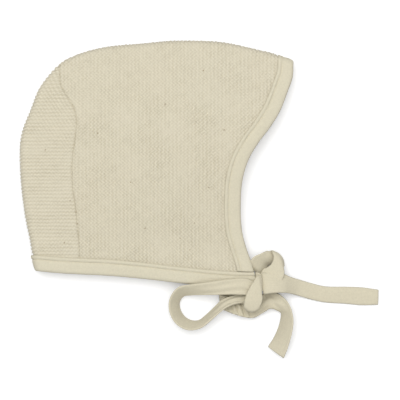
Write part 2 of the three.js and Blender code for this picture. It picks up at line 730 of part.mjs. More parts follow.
function add(name, geometry, colour) {
  const material = new THREE.MeshStandardMaterial({ color: colour, roughness: 0.95, metalness: 0 });
  material.name = colour === KNIT_COLOUR ? 'cream_knit' : 'cream_jersey';
  const mesh = new THREE.Mesh(geometry, material);
  mesh.name = name;
  bonnet.add(mesh);
}

add('back_panel', backPanel(), KNIT_COLOUR);
add('crown_panel', crownPanel(), KNIT_COLOUR);
add('front_band', frontBand(), JERSEY_COLOUR);
add('neck_band', neckBand(), JERSEY_COLOUR);
add('tie_upper', tapeSolid(TIE_UPPER_ROWS, 2), JERSEY_COLOUR);
add('tie_lower', tapeSolid(TIE_LOWER_ROWS, 3), JERSEY_COLOUR);

// The origin is under the middle of the whole, on the ground.
const extent = new THREE.Box3().setFromObject(bonnet);
for (const mesh of bonnet.children) {
  mesh.geometry.translate(
    -(extent.min.x + extent.max.x) / 2,
    -(extent.min.y + extent.max.y) / 2,
    -extent.min.z,
  );
}

export default bonnet;
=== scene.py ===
import math

import bpy
import numpy as np
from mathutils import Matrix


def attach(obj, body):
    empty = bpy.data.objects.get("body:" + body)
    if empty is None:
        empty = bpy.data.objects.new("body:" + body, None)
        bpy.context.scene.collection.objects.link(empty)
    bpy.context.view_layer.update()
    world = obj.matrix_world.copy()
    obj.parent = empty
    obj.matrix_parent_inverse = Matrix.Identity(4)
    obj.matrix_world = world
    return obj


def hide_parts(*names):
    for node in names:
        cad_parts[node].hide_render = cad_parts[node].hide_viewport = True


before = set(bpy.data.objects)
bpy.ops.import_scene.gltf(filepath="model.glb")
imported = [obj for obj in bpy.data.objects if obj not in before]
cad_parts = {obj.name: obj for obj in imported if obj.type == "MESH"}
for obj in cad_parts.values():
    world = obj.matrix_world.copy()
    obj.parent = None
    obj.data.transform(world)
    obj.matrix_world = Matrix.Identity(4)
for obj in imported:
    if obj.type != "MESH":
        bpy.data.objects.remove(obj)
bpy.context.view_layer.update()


# Table top, daylight and camera
# The bonnet lies flat on a white table under a broad soft light and is seen from straight above,
# with the face opening to the right and the crown of the head away from the viewer.
TABLE_SIDE = 6.0
TABLE_TOP = -0.0001
TABLE_GLOW = 0.20
CAMERA_HEIGHT = 0.8767
CAMERA_OVER = (0.0004, -0.0010)


def link(tree, *pairs):
    """Joins sockets in a node tree, each pair from an output to an input."""
    for start, end in pairs:
        tree.links.new(start, end)


table_mesh = bpy.data.meshes.new("table_top")
half = TABLE_SIDE / 2
table_corners = [(x, y, TABLE_TOP) for x, y in ((-half, -half), (half, -half), (half, half), (-half, half))]
table_mesh.from_pydata(table_corners, [], [(0, 1, 2, 3)])
table_top = bpy.data.objects.new("table_top", table_mesh)
bpy.context.scene.collection.objects.link(table_top)
table_white = bpy.data.materials.new("table_white")
table_white.use_nodes = True
table_tree = table_white.node_tree
table_body = table_tree.nodes["Principled BSDF"]
table_body.inputs["Roughness"].default_value = 0.9
table_body.inputs["Specular IOR Level"].default_value = 0.1
table_body.inputs["Emission Color"].default_value = (1, 1, 1, 1)
seen = table_tree.nodes.new("ShaderNodeLightPath")
top_colour = table_tree.nodes.new("ShaderNodeMix")
top_colour.data_type = "RGBA"
top_colour.inputs[6].default_value = (0.40, 0.40, 0.40, 1)
top_colour.inputs[7].default_value = (0.93, 0.93, 0.93, 1)
glow = table_tree.nodes.new("ShaderNodeMath")
glow.operation = "MULTIPLY"
glow.inputs[1].default_value = TABLE_GLOW
link(
    table_tree,
    (seen.outputs["Is Camera Ray"], top_colour.inputs[0]),
    (top_colour.outputs[2], table_body.inputs["Base Color"]),
    (seen.outputs["Is Camera Ray"], glow.inputs[0]),
    (glow.outputs[0], table_body.inputs["Emission Strength"]),
)
table_mesh.materials.append(table_white)

room = bpy.data.worlds.new("white_room")
room.use_nodes = True
room_tree = room.node_tree
sky = room_tree.nodes["Background"]
sky.inputs["Color"].default_value = (1, 1, 1, 1)
towards = room_tree.nodes.new("ShaderNodeTexCoord")
height_of_sky = room_tree.nodes.new("ShaderNodeSeparateXYZ")
overhead = room_tree.nodes.new("ShaderNodeMapRange")
overhead.inputs["To Min"].default_value = 0.10
overhead.inputs["To Max"].default_value = 1.15
looked_at = room_tree.nodes.new("ShaderNodeLightPath")
backdrop = room_tree.nodes.new("ShaderNodeMath")
backdrop.operation = "MAXIMUM"
link(
    room_tree,
    (towards.outputs["Generated"], height_of_sky.inputs[0]),
    (height_of_sky.outputs["Z"], overhead.inputs["Value"]),
    (overhead.outputs["Result"], backdrop.inputs[0]),
    (looked_at.outputs["Is Camera Ray"], backdrop.inputs[1]),
    (backdrop.outputs[0], sky.inputs["Strength"]),
)
bpy.context.scene.world = room
bpy.context.scene.view_settings.view_transform = "Standard"

window_light = bpy.data.lights.new("soft_window", "AREA")
window_light.shape = "RECTANGLE"
window_light.size = 1.3
window_light.size_y = 1.0
window_light.energy = 8.9
window = bpy.data.objects.new("soft_window", window_light)
window.location = (-0.22, 0.55, 1.30)
window.rotation_euler = window.location.to_track_quat("Z", "Y").to_euler()
bpy.context.scene.collection.objects.link(window)

lens = bpy.data.cameras.new("camera_above")
lens.lens = 120
lens.sensor_width = 36
lens.clip_start = 0.01
camera_above = bpy.data.objects.new("camera_above", lens)
camera_above.location = (*CAMERA_OVER, CAMERA_HEIGHT)
bpy.context.scene.collection.objects.link(camera_above)
bpy.context.scene.camera = camera_above


# Crown panel
# One strip of cream cotton knit that runs from the neck on one side over the head to the neck on
# the other, sewn to the back panel and bound at the face and the neck. It lies folded along the top,
# and its outer face has ridges 2.45 mm apart, each a chain of loops that lean left and right.
BONNET_DEPTH = 0.178
BONNET_HEIGHT = 0.161
MIDDLE = np.array((0.116379, 0.058749, 0.00001))
KNIT_WALL = 0.0022
KNIT_WALL_IN_BAND = 0.0014
FOLD_RADIUS = 0.0032
FIT_GAP = 0.0003
NECK_BAND_WIDTH = 0.0106
FRONT_BAND_WIDTH = 0.011
BAND_LEG = 0.0010
BAND_FLOOR = 0.0022
SLOT_HALF = KNIT_WALL_IN_BAND / 2 + FIT_GAP
BAND_HALF = SLOT_HALF + BAND_LEG
KNIT_REST = KNIT_WALL / 2 + 0.00005
BAND_REST = BAND_HALF + 0.00035
CORNER_LIFT = BAND_HALF * 2 + 0.0005
RIDGE_PITCH = 0.00245
LOOP_PITCH = 0.0023
RELIEF = 0.0005
SEAM_VALLEY = 0.0015
SEAM_DEPTH = 0.00042
INSIDE_SHADE = 0.4

# The outlines of the folded bonnet as (forward, up) shares of its depth and height.
FOLD_LINE = [
    (0.061, 0.071), (0.048, 0.131), (0.037, 0.197), (0.020, 0.286), (0.005, 0.415), (0.000, 0.508),
    (0.001, 0.592), (0.012, 0.649), (0.039, 0.723), (0.066, 0.800), (0.095, 0.848), (0.146, 0.908),
    (0.192, 0.936), (0.252, 0.959), (0.321, 0.975), (0.437, 0.987), (0.578, 0.999), (0.739, 0.992),
    (0.879, 0.959), (0.944, 0.939), (0.998, 0.912),
]
TIP_ROW = 11
FRONT_EDGE = [
    (0.998, 0.912), (0.995, 0.856), (0.976, 0.795), (0.948, 0.717), (0.911, 0.650), (0.871, 0.592),
    (0.838, 0.532), (0.819, 0.476), (0.808, 0.415), (0.805, 0.347), (0.806, 0.278), (0.812, 0.222),
    (0.827, 0.161), (0.846, 0.101), (0.860, 0.036), (0.863, 0.001),
]
NECK_EDGE = [
    (0.061, 0.071), (0.137, 0.063), (0.219, 0.058), (0.327, 0.052), (0.455, 0.039), (0.586, 0.022),
    (0.711, 0.008), (0.802, 0.002), (0.863, 0.001),
]
SEAM_ROW = 2
SEAM_LINE = [
    (0.146, 0.908), (0.142, 0.862), (0.150, 0.814), (0.170, 0.778), (0.188, 0.746), (0.202, 0.707),
    (0.206, 0.667), (0.201, 0.609), (0.194, 0.556), (0.190, 0.496), (0.193, 0.395), (0.202, 0.334),
    (0.208, 0.260), (0.214, 0.193), (0.219, 0.058),
]
# The upper side puffs up off the lower one: (forward, up, spread, rise).
PUFFS = [
    (0.48, 0.58, 0.34, 0.0052), (0.82, 0.66, 0.26, 0.0030),
    (0.62, 0.18, 0.26, 0.0016), (0.20, 0.30, 0.22, 0.0012),
]
# Its soft creases: (forward, up, turn in degrees, long, wide, rise).
CREASES = [
    (0.915, 0.875, 74, 0.10, 0.016, 0.0007), (0.880, 0.840, 66, 0.11, 0.018, -0.0006),
    (0.300, 0.780, 20, 0.20, 0.050, -0.0005), (0.450, 0.300, 12, 0.24, 0.060, 0.0005),
    (0.120, 0.450, 80, 0.22, 0.040, -0.0004),
]
STEPS_A_ROW = 60
FOLD_STEPS = 300
NECK_STEPS = 90
FRONT_STEPS = 110


def ease(low, high, value):
    """From 0 to 1, softly, while the value goes from low to high."""
    t = np.clip((value - low) / (high - low), 0, 1)
    return t * t * (3 - 2 * t)


def steps_of(points):
    """The length of each step along a chain of points."""
    return np.linalg.norm(np.diff(points, axis=0), axis=1)


def run_along(points):
    """The length run up to each point of a chain."""
    return np.concatenate(([0], np.cumsum(steps_of(points))))


def plan_curve(rows):
    """A smooth line through the rows: its points and the length run up to each of them."""
    p = np.array(rows) * (BONNET_DEPTH, BONNET_HEIGHT)
    p = np.vstack((2 * p[0] - p[1], p, 2 * p[-1] - p[-2]))
    t = np.linspace(0, len(rows) - 1, STEPS_A_ROW * (len(rows) - 1) + 1)
    i = np.minimum(t.astype(int), len(rows) - 2)
    w = (t - i)[:, None]
    p0, p1, p2, p3 = p[i], p[i + 1], p[i + 2], p[i + 3]
    d0, d1, d2 = (np.sqrt(np.linalg.norm(b - a, axis=1))[:, None] for a, b in ((p0, p1), (p1, p2), (p2, p3)))
    m1 = ((p1 - p0) / d0 - (p2 - p0) / (d0 + d1) + (p2 - p1) / d1) * d1
    m2 = ((p2 - p1) / d1 - (p3 - p1) / (d1 + d2) + (p3 - p2) / d2) * d1
    points = p1 + m1 * w + (3 * (p2 - p1) - 2 * m1 - m2) * w**2 + (2 * (p1 - p2) + m1 + m2) * w**3
    return points, run_along(points)


def stretch(curve, start, end):
    """One stretch of a curve, met by shares of its length."""
    points, run = curve

    def at(share):
        s = np.clip(start + (end - start) * np.asarray(share, float), 0, 1) * run[-1]
        return np.stack((np.interp(s, run, points[:, 0]), np.interp(s, run, points[:, 1])), axis=-1)

    return at


fold_curve = plan_curve(FOLD_LINE)
front_curve = plan_curve(FRONT_EDGE)
neck_curve = plan_curve(NECK_EDGE)
seam_curve = plan_curve(SEAM_LINE)
tip_share = fold_curve[1][STEPS_A_ROW * TIP_ROW] / fold_curve[1][-1]
foot_share = neck_curve[1][STEPS_A_ROW * SEAM_ROW] / neck_curve[1][-1]
crown_fold = stretch(fold_curve, tip_share, 1)
back_fold = stretch(fold_curve, tip_share, 0)
crown_neck = stretch(neck_curve, foot_share, 1)
back_neck = stretch(neck_curve, 0, foot_share)
front_line = stretch(front_curve, 0, 1)
seam_line = stretch(seam_curve, 0, 1)


def distance_to(curve, steps, plan):
    """Distance in plan from each point to a curve."""
    chain = stretch(curve, 0, 1)(np.linspace(0, 1, steps + 1))
    best = np.full(plan.shape[:-1], 1e9)
    for a, b in zip(chain[:-1], chain[1:]):
        along = b - a
        t = np.clip(((plan - a) @ along) / (along @ along), 0, 1)
        gap = plan - a - t[..., None] * along
        best = np.minimum(best, gap[..., 0] ** 2 + gap[..., 1] ** 2)
    return np.sqrt(best)


def cloth_point(plan, side, down):
    """The middle of the cloth over a plan point, on the upper (+1) or the lower (-1) layer."""
    depth = np.where(down <= 0, 0, distance_to(fold_curve, FOLD_STEPS, plan))
    edge = np.minimum(distance_to(neck_curve, NECK_STEPS, plan), distance_to(front_curve, FRONT_STEPS, plan))
    rest = KNIT_REST + (BAND_REST - KNIT_REST) * (1 - ease(NECK_BAND_WIDTH, NECK_BAND_WIDTH * 2.4, edge))
    inside = np.minimum(depth, FOLD_RADIUS)
    bulge = np.sqrt(np.maximum(FOLD_RADIUS**2 - (FOLD_RADIUS - inside) ** 2, 0))
    x = plan[..., 0] / BONNET_DEPTH
    y = plan[..., 1] / BONNET_HEIGHT
    lift = np.zeros_like(x)
    for forward, up, spread, rise in PUFFS:
        lift += rise * np.exp(-((x - forward) ** 2 + (y - up) ** 2) / spread**2)
    for forward, up, turn, long, wide, rise in CREASES:
        c, s = math.cos(math.radians(turn)), math.sin(math.radians(turn))
        along = ((x - forward) * c + (y - up) * s) / long
        across = ((y - up) * c - (x - forward) * s) / wide
        lift += rise * np.exp(-(along**2) - across**2)
    lift *= ease(0, FOLD_RADIUS * 8, depth)
    free = ease(0, 0.55, np.hypot(x - NECK_EDGE[-1][0], y - NECK_EDGE[-1][1]))
    upper = rest + FOLD_RADIUS + bulge + lift * free + (CORNER_LIFT - FOLD_RADIUS * 2) * (1 - free)
    z = np.where(side < 0, rest + FOLD_RADIUS - bulge, upper)
    return np.concatenate((plan, z[..., None]), axis=-1)


def depth_share(share, length):
    """Share of the way down from the fold, for a share of the cloth's own way round the hairpin."""
    radius = np.minimum(FOLD_RADIUS, length * 0.6)
    quarter = radius * math.pi / 2
    run = share * (quarter + length - radius)
    return np.where(run < quarter, radius * (1 - np.cos(run / radius)), radius + run - quarter) / length


def crown_plan(a, b):
    """Plan point of the crown panel: a from the seam to the face, b from the fold to the neck."""
    a = np.asarray(a, float)[..., None]
    b = np.asarray(b, float)[..., None]
    c00, c10, c01, c11 = crown_fold(0), crown_fold(1), crown_neck(0), crown_neck(1)
    point = crown_fold(a[..., 0]) * (1 - b) + crown_neck(a[..., 0]) * b
    point = point + seam_line(b[..., 0]) * (1 - a) + front_line(b[..., 0]) * a
    return point - c00 * (1 - a) * (1 - b) - c10 * a * (1 - b) - c01 * (1 - a) * b - c11 * a * b


SHARES = np.linspace(0, 1, 49)
fine = np.linspace(0, 1, 41)
crown_down = np.array([steps_of(crown_plan(np.full(41, s), fine)).sum() for s in SHARES])
crown_along = np.array([steps_of(crown_plan(fine, np.full(41, s))).sum() for s in SHARES])


def crown_map(a, v):
    """a from the seam (0) to the face (1), v from the lower neck edge (-1) over the fold to the upper (1)."""
    down = depth_share(np.abs(v), np.interp(a, SHARES, crown_down))
    return cloth_point(crown_plan(a, down), np.where(v < 0, -1, 1), down)


def outward(points):
    """Unit normals of a grid of points, away from the inside of the bonnet."""
    normal = np.cross(np.gradient(points, axis=1), np.gradient(points, axis=0))
    return normal / np.linalg.norm(normal, axis=-1, keepdims=True)


def pressed(points):
    """The same points with the stitches that lie on the table pressed flat against it."""
    soft = 0.00016
    z = points[..., 2:]
    flattened = soft * np.log1p(np.exp(np.minimum(z, 0.01) / soft))
    return np.concatenate((points[..., :2], np.where(z > 0.003, z, flattened)), axis=-1)


def wander(x, y, size, seed):
    """Slow unevenness between -1 and 1, with patches of about that size."""
    roll = np.random.default_rng(seed)
    total = np.zeros_like(x)
    for _ in range(6):
        turn = roll.uniform(0, math.tau)
        reach = math.tau / (size * roll.uniform(0.8, 1.7))
        total += np.cos((x * math.cos(turn) + y * math.sin(turn)) * reach + roll.uniform(0, math.tau))
    return total / 3


def garter(across, along, pitch, loop, seed, lean=1.7):
    """Height of the ridged knit from -1 to 1: ridges a pitch apart, whose loops lean to either side."""
    ridge = across / pitch * math.tau + 0.35 * wander(across, along, 0.016, seed)
    step = along / loop * math.tau + 0.6 * wander(across, along, 0.021, seed + 1)
    lean = lean + 0.3 * wander(across, along, 0.009, seed + 2)
    loft = 0.80 + 0.14 * wander(across, along, 0.006, seed + 3)
    loft = loft + 0.16 * wander(across, along, 0.022, seed + 4)
    return loft * np.cos(ridge - lean * np.cos(step))


def zip_up(faces, points, one, two):
    """Triangles between two chains of corners of any two lengths, each step by the shorter way across."""
    i = j = 0
    while i + 1 < len(one) or j + 1 < len(two):
        on_one = i + 1 < len(one)
        if on_one and j + 1 < len(two):
            across = math.dist(points[one[i + 1]], points[two[j]])
            on_one = across <= math.dist(points[one[i]], points[two[j + 1]])
        if on_one:
            faces.append((one[i], one[i + 1], two[j]))
            i += 1
        else:
            faces.append((one[i], two[j + 1], two[j]))
            j += 1


def grid_faces(high, wide, start, flip):
    """Four-cornered faces of a grid of points whose corners are counted from start."""
    i = np.arange(high - 1)[:, None] * wide + np.arange(wide - 1)[None, :] + start
    corners = (i, i + 1, i + wide + 1, i + wide)
    return np.stack(corners[::-1] if flip else corners, axis=-1).reshape(-1, 4)


def make_mesh(name, points, quads, triangles, material, fields=(), uv=None):
    """A smooth mesh object from corners in the CAD's own frame."""
    mesh = bpy.data.meshes.new(name)
    loops = np.concatenate((np.asarray(quads).ravel(), np.asarray(triangles, int).ravel())).astype(np.int32)
    sizes = np.concatenate((np.full(len(quads), 4), np.full(len(triangles), 3))).astype(np.int32)
    mesh.vertices.add(len(points))
    mesh.vertices.foreach_set("co", (points - MIDDLE).astype(np.float32).ravel())
    mesh.loops.add(len(loops))
    mesh.loops.foreach_set("vertex_index", loops)
    mesh.polygons.add(len(sizes))
    mesh.polygons.foreach_set("loop_start", np.concatenate(([0], np.cumsum(sizes)[:-1])).astype(np.int32))
    mesh.polygons.foreach_set("loop_total", sizes)
    mesh.polygons.foreach_set("use_smooth", np.ones(len(sizes), bool))
    mesh.update(calc_edges=True)
    mesh.validate()
    for field, values in fields:
        layer = mesh.attributes.new(field, "FLOAT", "POINT")
        layer.data.foreach_set("value", values.astype(np.float32).ravel())
    if uv is not None:
        layer = mesh.uv_layers.new(name="cloth")
        corner = np.zeros(len(mesh.loops), np.int32)
        mesh.loops.foreach_get("vertex_index", corner)
        layer.data.foreach_set("uv", uv[corner].astype(np.float32).ravel())
    mesh.materials.append(material)
    made = bpy.data.objects.new(name, mesh)
    bpy.context.scene.collection.objects.link(made)
    return made


def walled(name, outer, inner, material, painted_valley_shade):
    """A closed cloth solid from a fine outer face and a plainer inner face, with a field of painted shade
    over both.
    """
    high, wide = outer.shape[:2]
    low, thin = inner.shape[:2]
    start = high * wide
    quads = np.concatenate((grid_faces(high, wide, 0, False), grid_faces(low, thin, start, True)))
    out = np.arange(high * wide).reshape(high, wide)
    back = (np.arange(low * thin) + start).reshape(low, thin)
    points = np.concatenate((outer.reshape(-1, 3), inner.reshape(-1, 3)))
    rim = []
    zip_up(rim, points, out[0][::-1], back[0][::-1])
    zip_up(rim, points, out[-1], back[-1])
    zip_up(rim, points, out[:, 0], back[:, 0])
    zip_up(rim, points, out[::-1, -1], back[::-1, -1])
    # The inner face gets an even painted shade.
    field = np.concatenate((painted_valley_shade.ravel(), np.full(low * thin, INSIDE_SHADE)))
    return make_mesh(name, points, quads, np.array(rim), material, [("painted_valley_shade", field)])


def new_group(name, inputs, outputs):
    """A shader node group with named inputs (name, kind, value) and outputs (name, kind)."""
    group = bpy.data.node_groups.new(name, "ShaderNodeTree")
    for label, kind, value in inputs:
        socket = group.interface.new_socket(label, in_out="INPUT", socket_type=kind)
        socket.default_value = value
    for label, kind in outputs:
        group.interface.new_socket(label, in_out="OUTPUT", socket_type=kind)
    return group, group.nodes.new("NodeGroupInput"), group.nodes.new("NodeGroupOutput")


def math_node(tree, operation, *values):
    """The output of a new math node, whose inputs are numbers or other outputs."""
    node = tree.nodes.new("ShaderNodeMath")
    node.operation = operation
    for socket, value in zip(node.inputs, values):
        if isinstance(value, (int, float)):
            socket.default_value = value
        else:
            tree.links.new(value, socket)
    return node.outputs[0]


# Undyed cotton: slow warm and cool patches, a painted shade colour mixed in by a mask, and the fine fluff of
# short fibres that stand off the yarn.
cotton, cotton_in, cotton_out = new_group(
    "undyed_cotton",
    [
        ("Colour", "NodeSocketColor", (0.7, 0.65, 0.5, 1)),
        ("Warm", "NodeSocketColor", (0.7, 0.6, 0.5, 1)),
        ("Patch", "NodeSocketFloat", 0.2),
        ("Painted Shade", "NodeSocketFloat", 0.0),
        ("Painted Shade Colour", "NodeSocketColor", (0.5, 0.4, 0.3, 1)),
        ("Fluff Scale", "NodeSocketFloat", 1600.0),
    ],
    [("Colour", "NodeSocketColor"), ("Fluff", "NodeSocketFloat")],
)
place = cotton.nodes.new("ShaderNodeTexCoord")
patch = cotton.nodes.new("ShaderNodeTexNoise")
patch.inputs["Scale"].default_value = 34
patch.inputs["Detail"].default_value = 3
fluff = cotton.nodes.new("ShaderNodeTexNoise")
fluff.inputs["Detail"].default_value = 4
fluff.inputs["Roughness"].default_value = 0.65
speck = cotton.nodes.new("ShaderNodeTexNoise")
speck.inputs["Scale"].default_value = 900
speck.inputs["Detail"].default_value = 2
warm = cotton.nodes.new("ShaderNodeMix")
warm.data_type = "RGBA"
# Painted shade: this mix pulls the colour towards the shade colour wherever the mask is up.
deep = cotton.nodes.new("ShaderNodeMix")
deep.data_type = "RGBA"
mottle = cotton.nodes.new("ShaderNodeMix")
mottle.data_type = "RGBA"
mottle.blend_type = "MULTIPLY"
mottle.inputs[0].default_value = 1.0
shade = cotton.nodes.new("ShaderNodeMapRange")
shade.inputs["From Min"].default_value = 0.3
shade.inputs["From Max"].default_value = 0.7
shade.inputs["To Min"].default_value = 0.955
shade.inputs["To Max"].default_value = 1.035
link(
    cotton,
    (place.outputs["Object"], patch.inputs["Vector"]),
    (place.outputs["Object"], fluff.inputs["Vector"]),
    (place.outputs["Object"], speck.inputs["Vector"]),
    (cotton_in.outputs["Fluff Scale"], fluff.inputs["Scale"]),
    (cotton_in.outputs["Colour"], warm.inputs[6]),
    (cotton_in.outputs["Warm"], warm.inputs[7]),
    (math_node(cotton, "MULTIPLY", patch.outputs["Fac"], cotton_in.outputs["Patch"]), warm.inputs[0]),
    (warm.outputs[2], deep.inputs[6]),
    (cotton_in.outputs["Painted Shade Colour"], deep.inputs[7]),
    (cotton_in.outputs["Painted Shade"], deep.inputs[0]),
    (speck.outputs["Fac"], shade.inputs["Value"]),
    (deep.outputs[2], mottle.inputs[6]),
    (shade.outputs["Result"], mottle.inputs[7]),
    (mottle.outputs[2], cotton_out.inputs["Colour"]),
    (fluff.outputs["Fac"], cotton_out.inputs["Fluff"]),
)


def cotton_material(name, colour, warm_colour, painted_shade_colour, patch_amount, fluff_bump):
    """A matt cotton: its colour from the cotton group, its fluff as a fine bump."""
    material = bpy.data.materials.new(name)
    material.use_nodes = True
    tree = material.node_tree
    body = tree.nodes["Principled BSDF"]
    body.inputs["Roughness"].default_value = 0.93
    body.inputs["Specular IOR Level"].default_value = 0.18
    body.inputs["Sheen Weight"].default_value = 0.12
    body.inputs["Sheen Roughness"].default_value = 0.6
    yarn = tree.nodes.new("ShaderNodeGroup")
    yarn.node_tree = cotton
    yarn.inputs["Colour"].default_value = colour
    yarn.inputs["Warm"].default_value = warm_colour
    yarn.inputs["Painted Shade Colour"].default_value = painted_shade_colour
    yarn.inputs["Patch"].default_value = patch_amount
    bump = tree.nodes.new("ShaderNodeBump")
    bump.inputs["Strength"].default_value = fluff_bump
    bump.inputs["Distance"].default_value = 0.00025
    link(
        tree,
        (yarn.outputs["Colour"], body.inputs["Base Color"]),
        (yarn.outputs["Fluff"], bump.inputs["Height"]),
        (bump.outputs["Normal"], body.inputs["Normal"]),
    )
    return material, tree, yarn, bump


# The third colour is the painted shade colour, mixed in by a per-point field: painted shade in the knit's
# valleys, along the seam and over the inner face.
cream_knit, knit_tree, knit_yarn = cotton_material(
    "cream_knit_yarn", (0.690, 0.648, 0.517, 1), (0.680, 0.615, 0.480, 1), (0.38, 0.33, 0.22, 1), 0.5, 0.35
)[:3]
painted_shade_field = knit_tree.nodes.new("ShaderNodeAttribute")
painted_shade_field.attribute_name = "painted_valley_shade"
painted_shade_mask = math_node(knit_tree, "MULTIPLY", painted_shade_field.outputs["Fac"], 0.50)
link(knit_tree, (painted_shade_mask, knit_yarn.inputs["Painted Shade"]))

# Shares of the way round: 230 steps on the upper side, 130 on the lower.
CROWN_ACROSS = 240
ways = np.concatenate((np.linspace(-1, 0, 131)[:-1], np.linspace(0, 1, 231)))


def crown_grid(across, ways):
    """The crown panel's stations from the seam to the face band, and the middle of its cloth there."""
    s = np.linspace(0, 1, across + 1)[:, None]
    inset = BAND_FLOOR + FIT_GAP
    span = np.interp(s, SHARES, crown_down) + FOLD_RADIUS * (math.pi / 2 - 1)
    v = ways[None, :] * (1 - inset / span)
    along = np.interp(depth_share(np.abs(v), crown_down[0]), SHARES, crown_along)
    a = (1 - inset / along) * s
    return a, v, along, crown_map(a, v)


def wall_and_band(points):
    """How thick the knit is at each point, and how far inside the bindings the point lies."""
    neck = distance_to(neck_curve, NECK_STEPS, points[..., :2]) - NECK_BAND_WIDTH
    face = distance_to(front_curve, FRONT_STEPS, points[..., :2]) - FRONT_BAND_WIDTH
    past = np.minimum(neck, face)
    return KNIT_WALL_IN_BAND + (KNIT_WALL - KNIT_WALL_IN_BAND) * ease(0.0004, 0.0032, past), past


def way_round(points, v, fold_up):
    """The cloth's own height coordinate, carried on over the fold to the lower side."""
    deep = distance_to(fold_curve, FOLD_STEPS, points[..., :2])
    inside = np.minimum(deep, FOLD_RADIUS)
    spare = FOLD_RADIUS * np.arccos(np.clip(1 - inside / FOLD_RADIUS, -1, 1)) - inside
    most = FOLD_RADIUS * (math.pi / 2 - 1)
    upper = points[..., 1] - spare + most
    return np.where(v < 0, 2 * (fold_up + most) - upper, upper)


a, v, along, middle = crown_grid(CROWN_ACROSS, ways)
fold_points = fold_curve[0][STEPS_A_ROW * TIP_ROW:]
fold_up = np.interp(middle[..., 0], fold_points[:, 0], fold_points[:, 1])
height = garter(middle[..., 0], way_round(middle, v, fold_up), RIDGE_PITCH, LOOP_PITCH, 11)
wall, past = wall_and_band(middle)
seam_side = ease(0, SEAM_VALLEY, a * along)
seam_way = middle[..., 1] + 0 * a


def knit_rise(height, wall, past, seam_side, seam_way, from_fold):
    """How far the outer face stands off the middle of the cloth: stitches, seam valley and its pulls."""
    free = ease(-0.001, 0.002, past)
    valley = SEAM_DEPTH * (1 + 0.45 * wander(seam_way, seam_way * 0, 0.006, 41)) * (1 - seam_side) * free
    valley *= 0.1 + 0.9 * ease(0.002, 0.014, from_fold)
    relief = RELIEF * height * (0.25 + 0.75 * ease(-0.0005, 0.0016, past)) * (0.45 + 0.55 * seam_side)
    return wall / 2 - 0.00012 + relief - valley


rise = knit_rise(height, wall, past, seam_side, seam_way, np.abs(v) * crown_down[0])
crown_facing = outward(middle)
outer = pressed(middle + crown_facing * rise[..., None])
# Painted shade: darker in the valleys between the ridges and loops, and along the seam's valley.
painted_valley_shade = np.clip(0.5 - 0.5 * height, 0, 1) ** 1.4 + 0.3 * (1 - seam_side)
upper_half = ways > 0.03
crown_outer_upper = outer[:, upper_half].reshape(-1, 3)
crown_facing_upper = crown_facing[:, upper_half].reshape(-1, 3)
inside_middle = crown_grid(60, np.linspace(-1, 1, 93))[-1]
inside_wall = wall_and_band(inside_middle)[0]
inner = inside_middle - outward(inside_middle) * (inside_wall / 2 - 0.00005)[..., None]
crown = walled("crown_panel_knit", outer, inner, cream_knit, painted_valley_shade)
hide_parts("crown_panel")
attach(crown, "root")


# Back panel
# The tongue of the same knit behind the head, with its ridges running across the head. It is folded
# down its middle, and its two curved sides and its tip are sewn to the crown panel.
BACK_RIDGE_PITCH = 0.00231
TONGUE_START = 0.004


def back_map(c, t):
    """c from the lower seam (-1) over the fold to the upper (1), t from the tip (0) to the neck (1)."""
    edge, side = back_fold(t), seam_line(t)
    length = np.maximum(np.linalg.norm(side - edge, axis=-1), 0.000001)
    down = depth_share(np.abs(c), length)[..., None]
    foot = back_fold(1) * (1 - down) + seam_line(1) * down
    plan = edge * (1 - down) + side * down
    plan = plan + (back_neck(down[..., 0]) - foot) * (np.asarray(t) ** 2)[..., None]
    return cloth_point(plan, np.where(c < 0, -1, 1), down[..., 0])


seam_length = steps_of(seam_line(fine)).sum()


def back_grid(down, across):
    """The back panel's stations from its tip to the neck, its half width, and the middle of its cloth."""
    last = 1 - (BAND_FLOOR + FIT_GAP) / seam_length
    t = (TONGUE_START + (last - TONGUE_START) * np.linspace(0, 1, down + 1) ** 1.06)[:, None]
    t = t * np.ones((1, 2 * across + 1))
    wide = np.maximum(np.linalg.norm(back_fold(t) - seam_line(t), axis=-1), 0.0005) + FOLD_RADIUS * 0.4
    c = np.linspace(-1, 1, 2 * across + 1)[None, :] + 0 * t
    return c, t, wide, back_map(c, t)


c, t, wide, middle = back_grid(236, 50)
side_way = np.where(c < 0, -1, 1) * distance_to(fold_curve, FOLD_STEPS, middle[..., :2])
height = garter(middle[..., 1], side_way, BACK_RIDGE_PITCH, LOOP_PITCH, 31, 1.25)
wall, past = wall_and_band(middle)
seam_side = ease(0, SEAM_VALLEY, (1 - np.abs(c)) * wide)
rise = knit_rise(height, wall, past, seam_side, middle[..., 1], wide)
back_facing = -outward(middle)
outer = pressed(middle + back_facing * rise[..., None])
# Painted shade: darker in the valleys between the ridges and loops, and along the seam's valley.
painted_valley_shade = np.clip(0.5 - 0.5 * height, 0, 1) ** 1.4 + 0.3 * (1 - seam_side)
laced = slice(4, -14)
seam_paths = [outer[laced, -1], outer[laced, 0]]
seam_facings = [back_facing[laced, -1], back_facing[laced, 0]]
back_upper = c[0] > 0.06
upper_skin = np.concatenate((crown_outer_upper, outer[6:, back_upper].reshape(-1, 3)))
upper_facing = np.concatenate((crown_facing_upper, back_facing[6:, back_upper].reshape(-1, 3)))
inside_middle = back_grid(50, 14)[-1]
inside_wall = wall_and_band(inside_middle)[0]
inner = inside_middle + outward(inside_middle) * (inside_wall / 2 - 0.00005)[..., None]
back = walled("back_panel_knit", outer[:, ::-1], inner[:, ::-1], cream_knit, painted_valley_shade[:, ::-1])
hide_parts("back_panel")
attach(back, "root")


# Bindings
# Strips of smooth cream jersey folded over the raw knit of the face and neck edges, and stitched
# through near their inner edge, so the lip rolls up beside the line of stitches.
STITCH_LINE = 0.0027
STITCH_ROW = 7


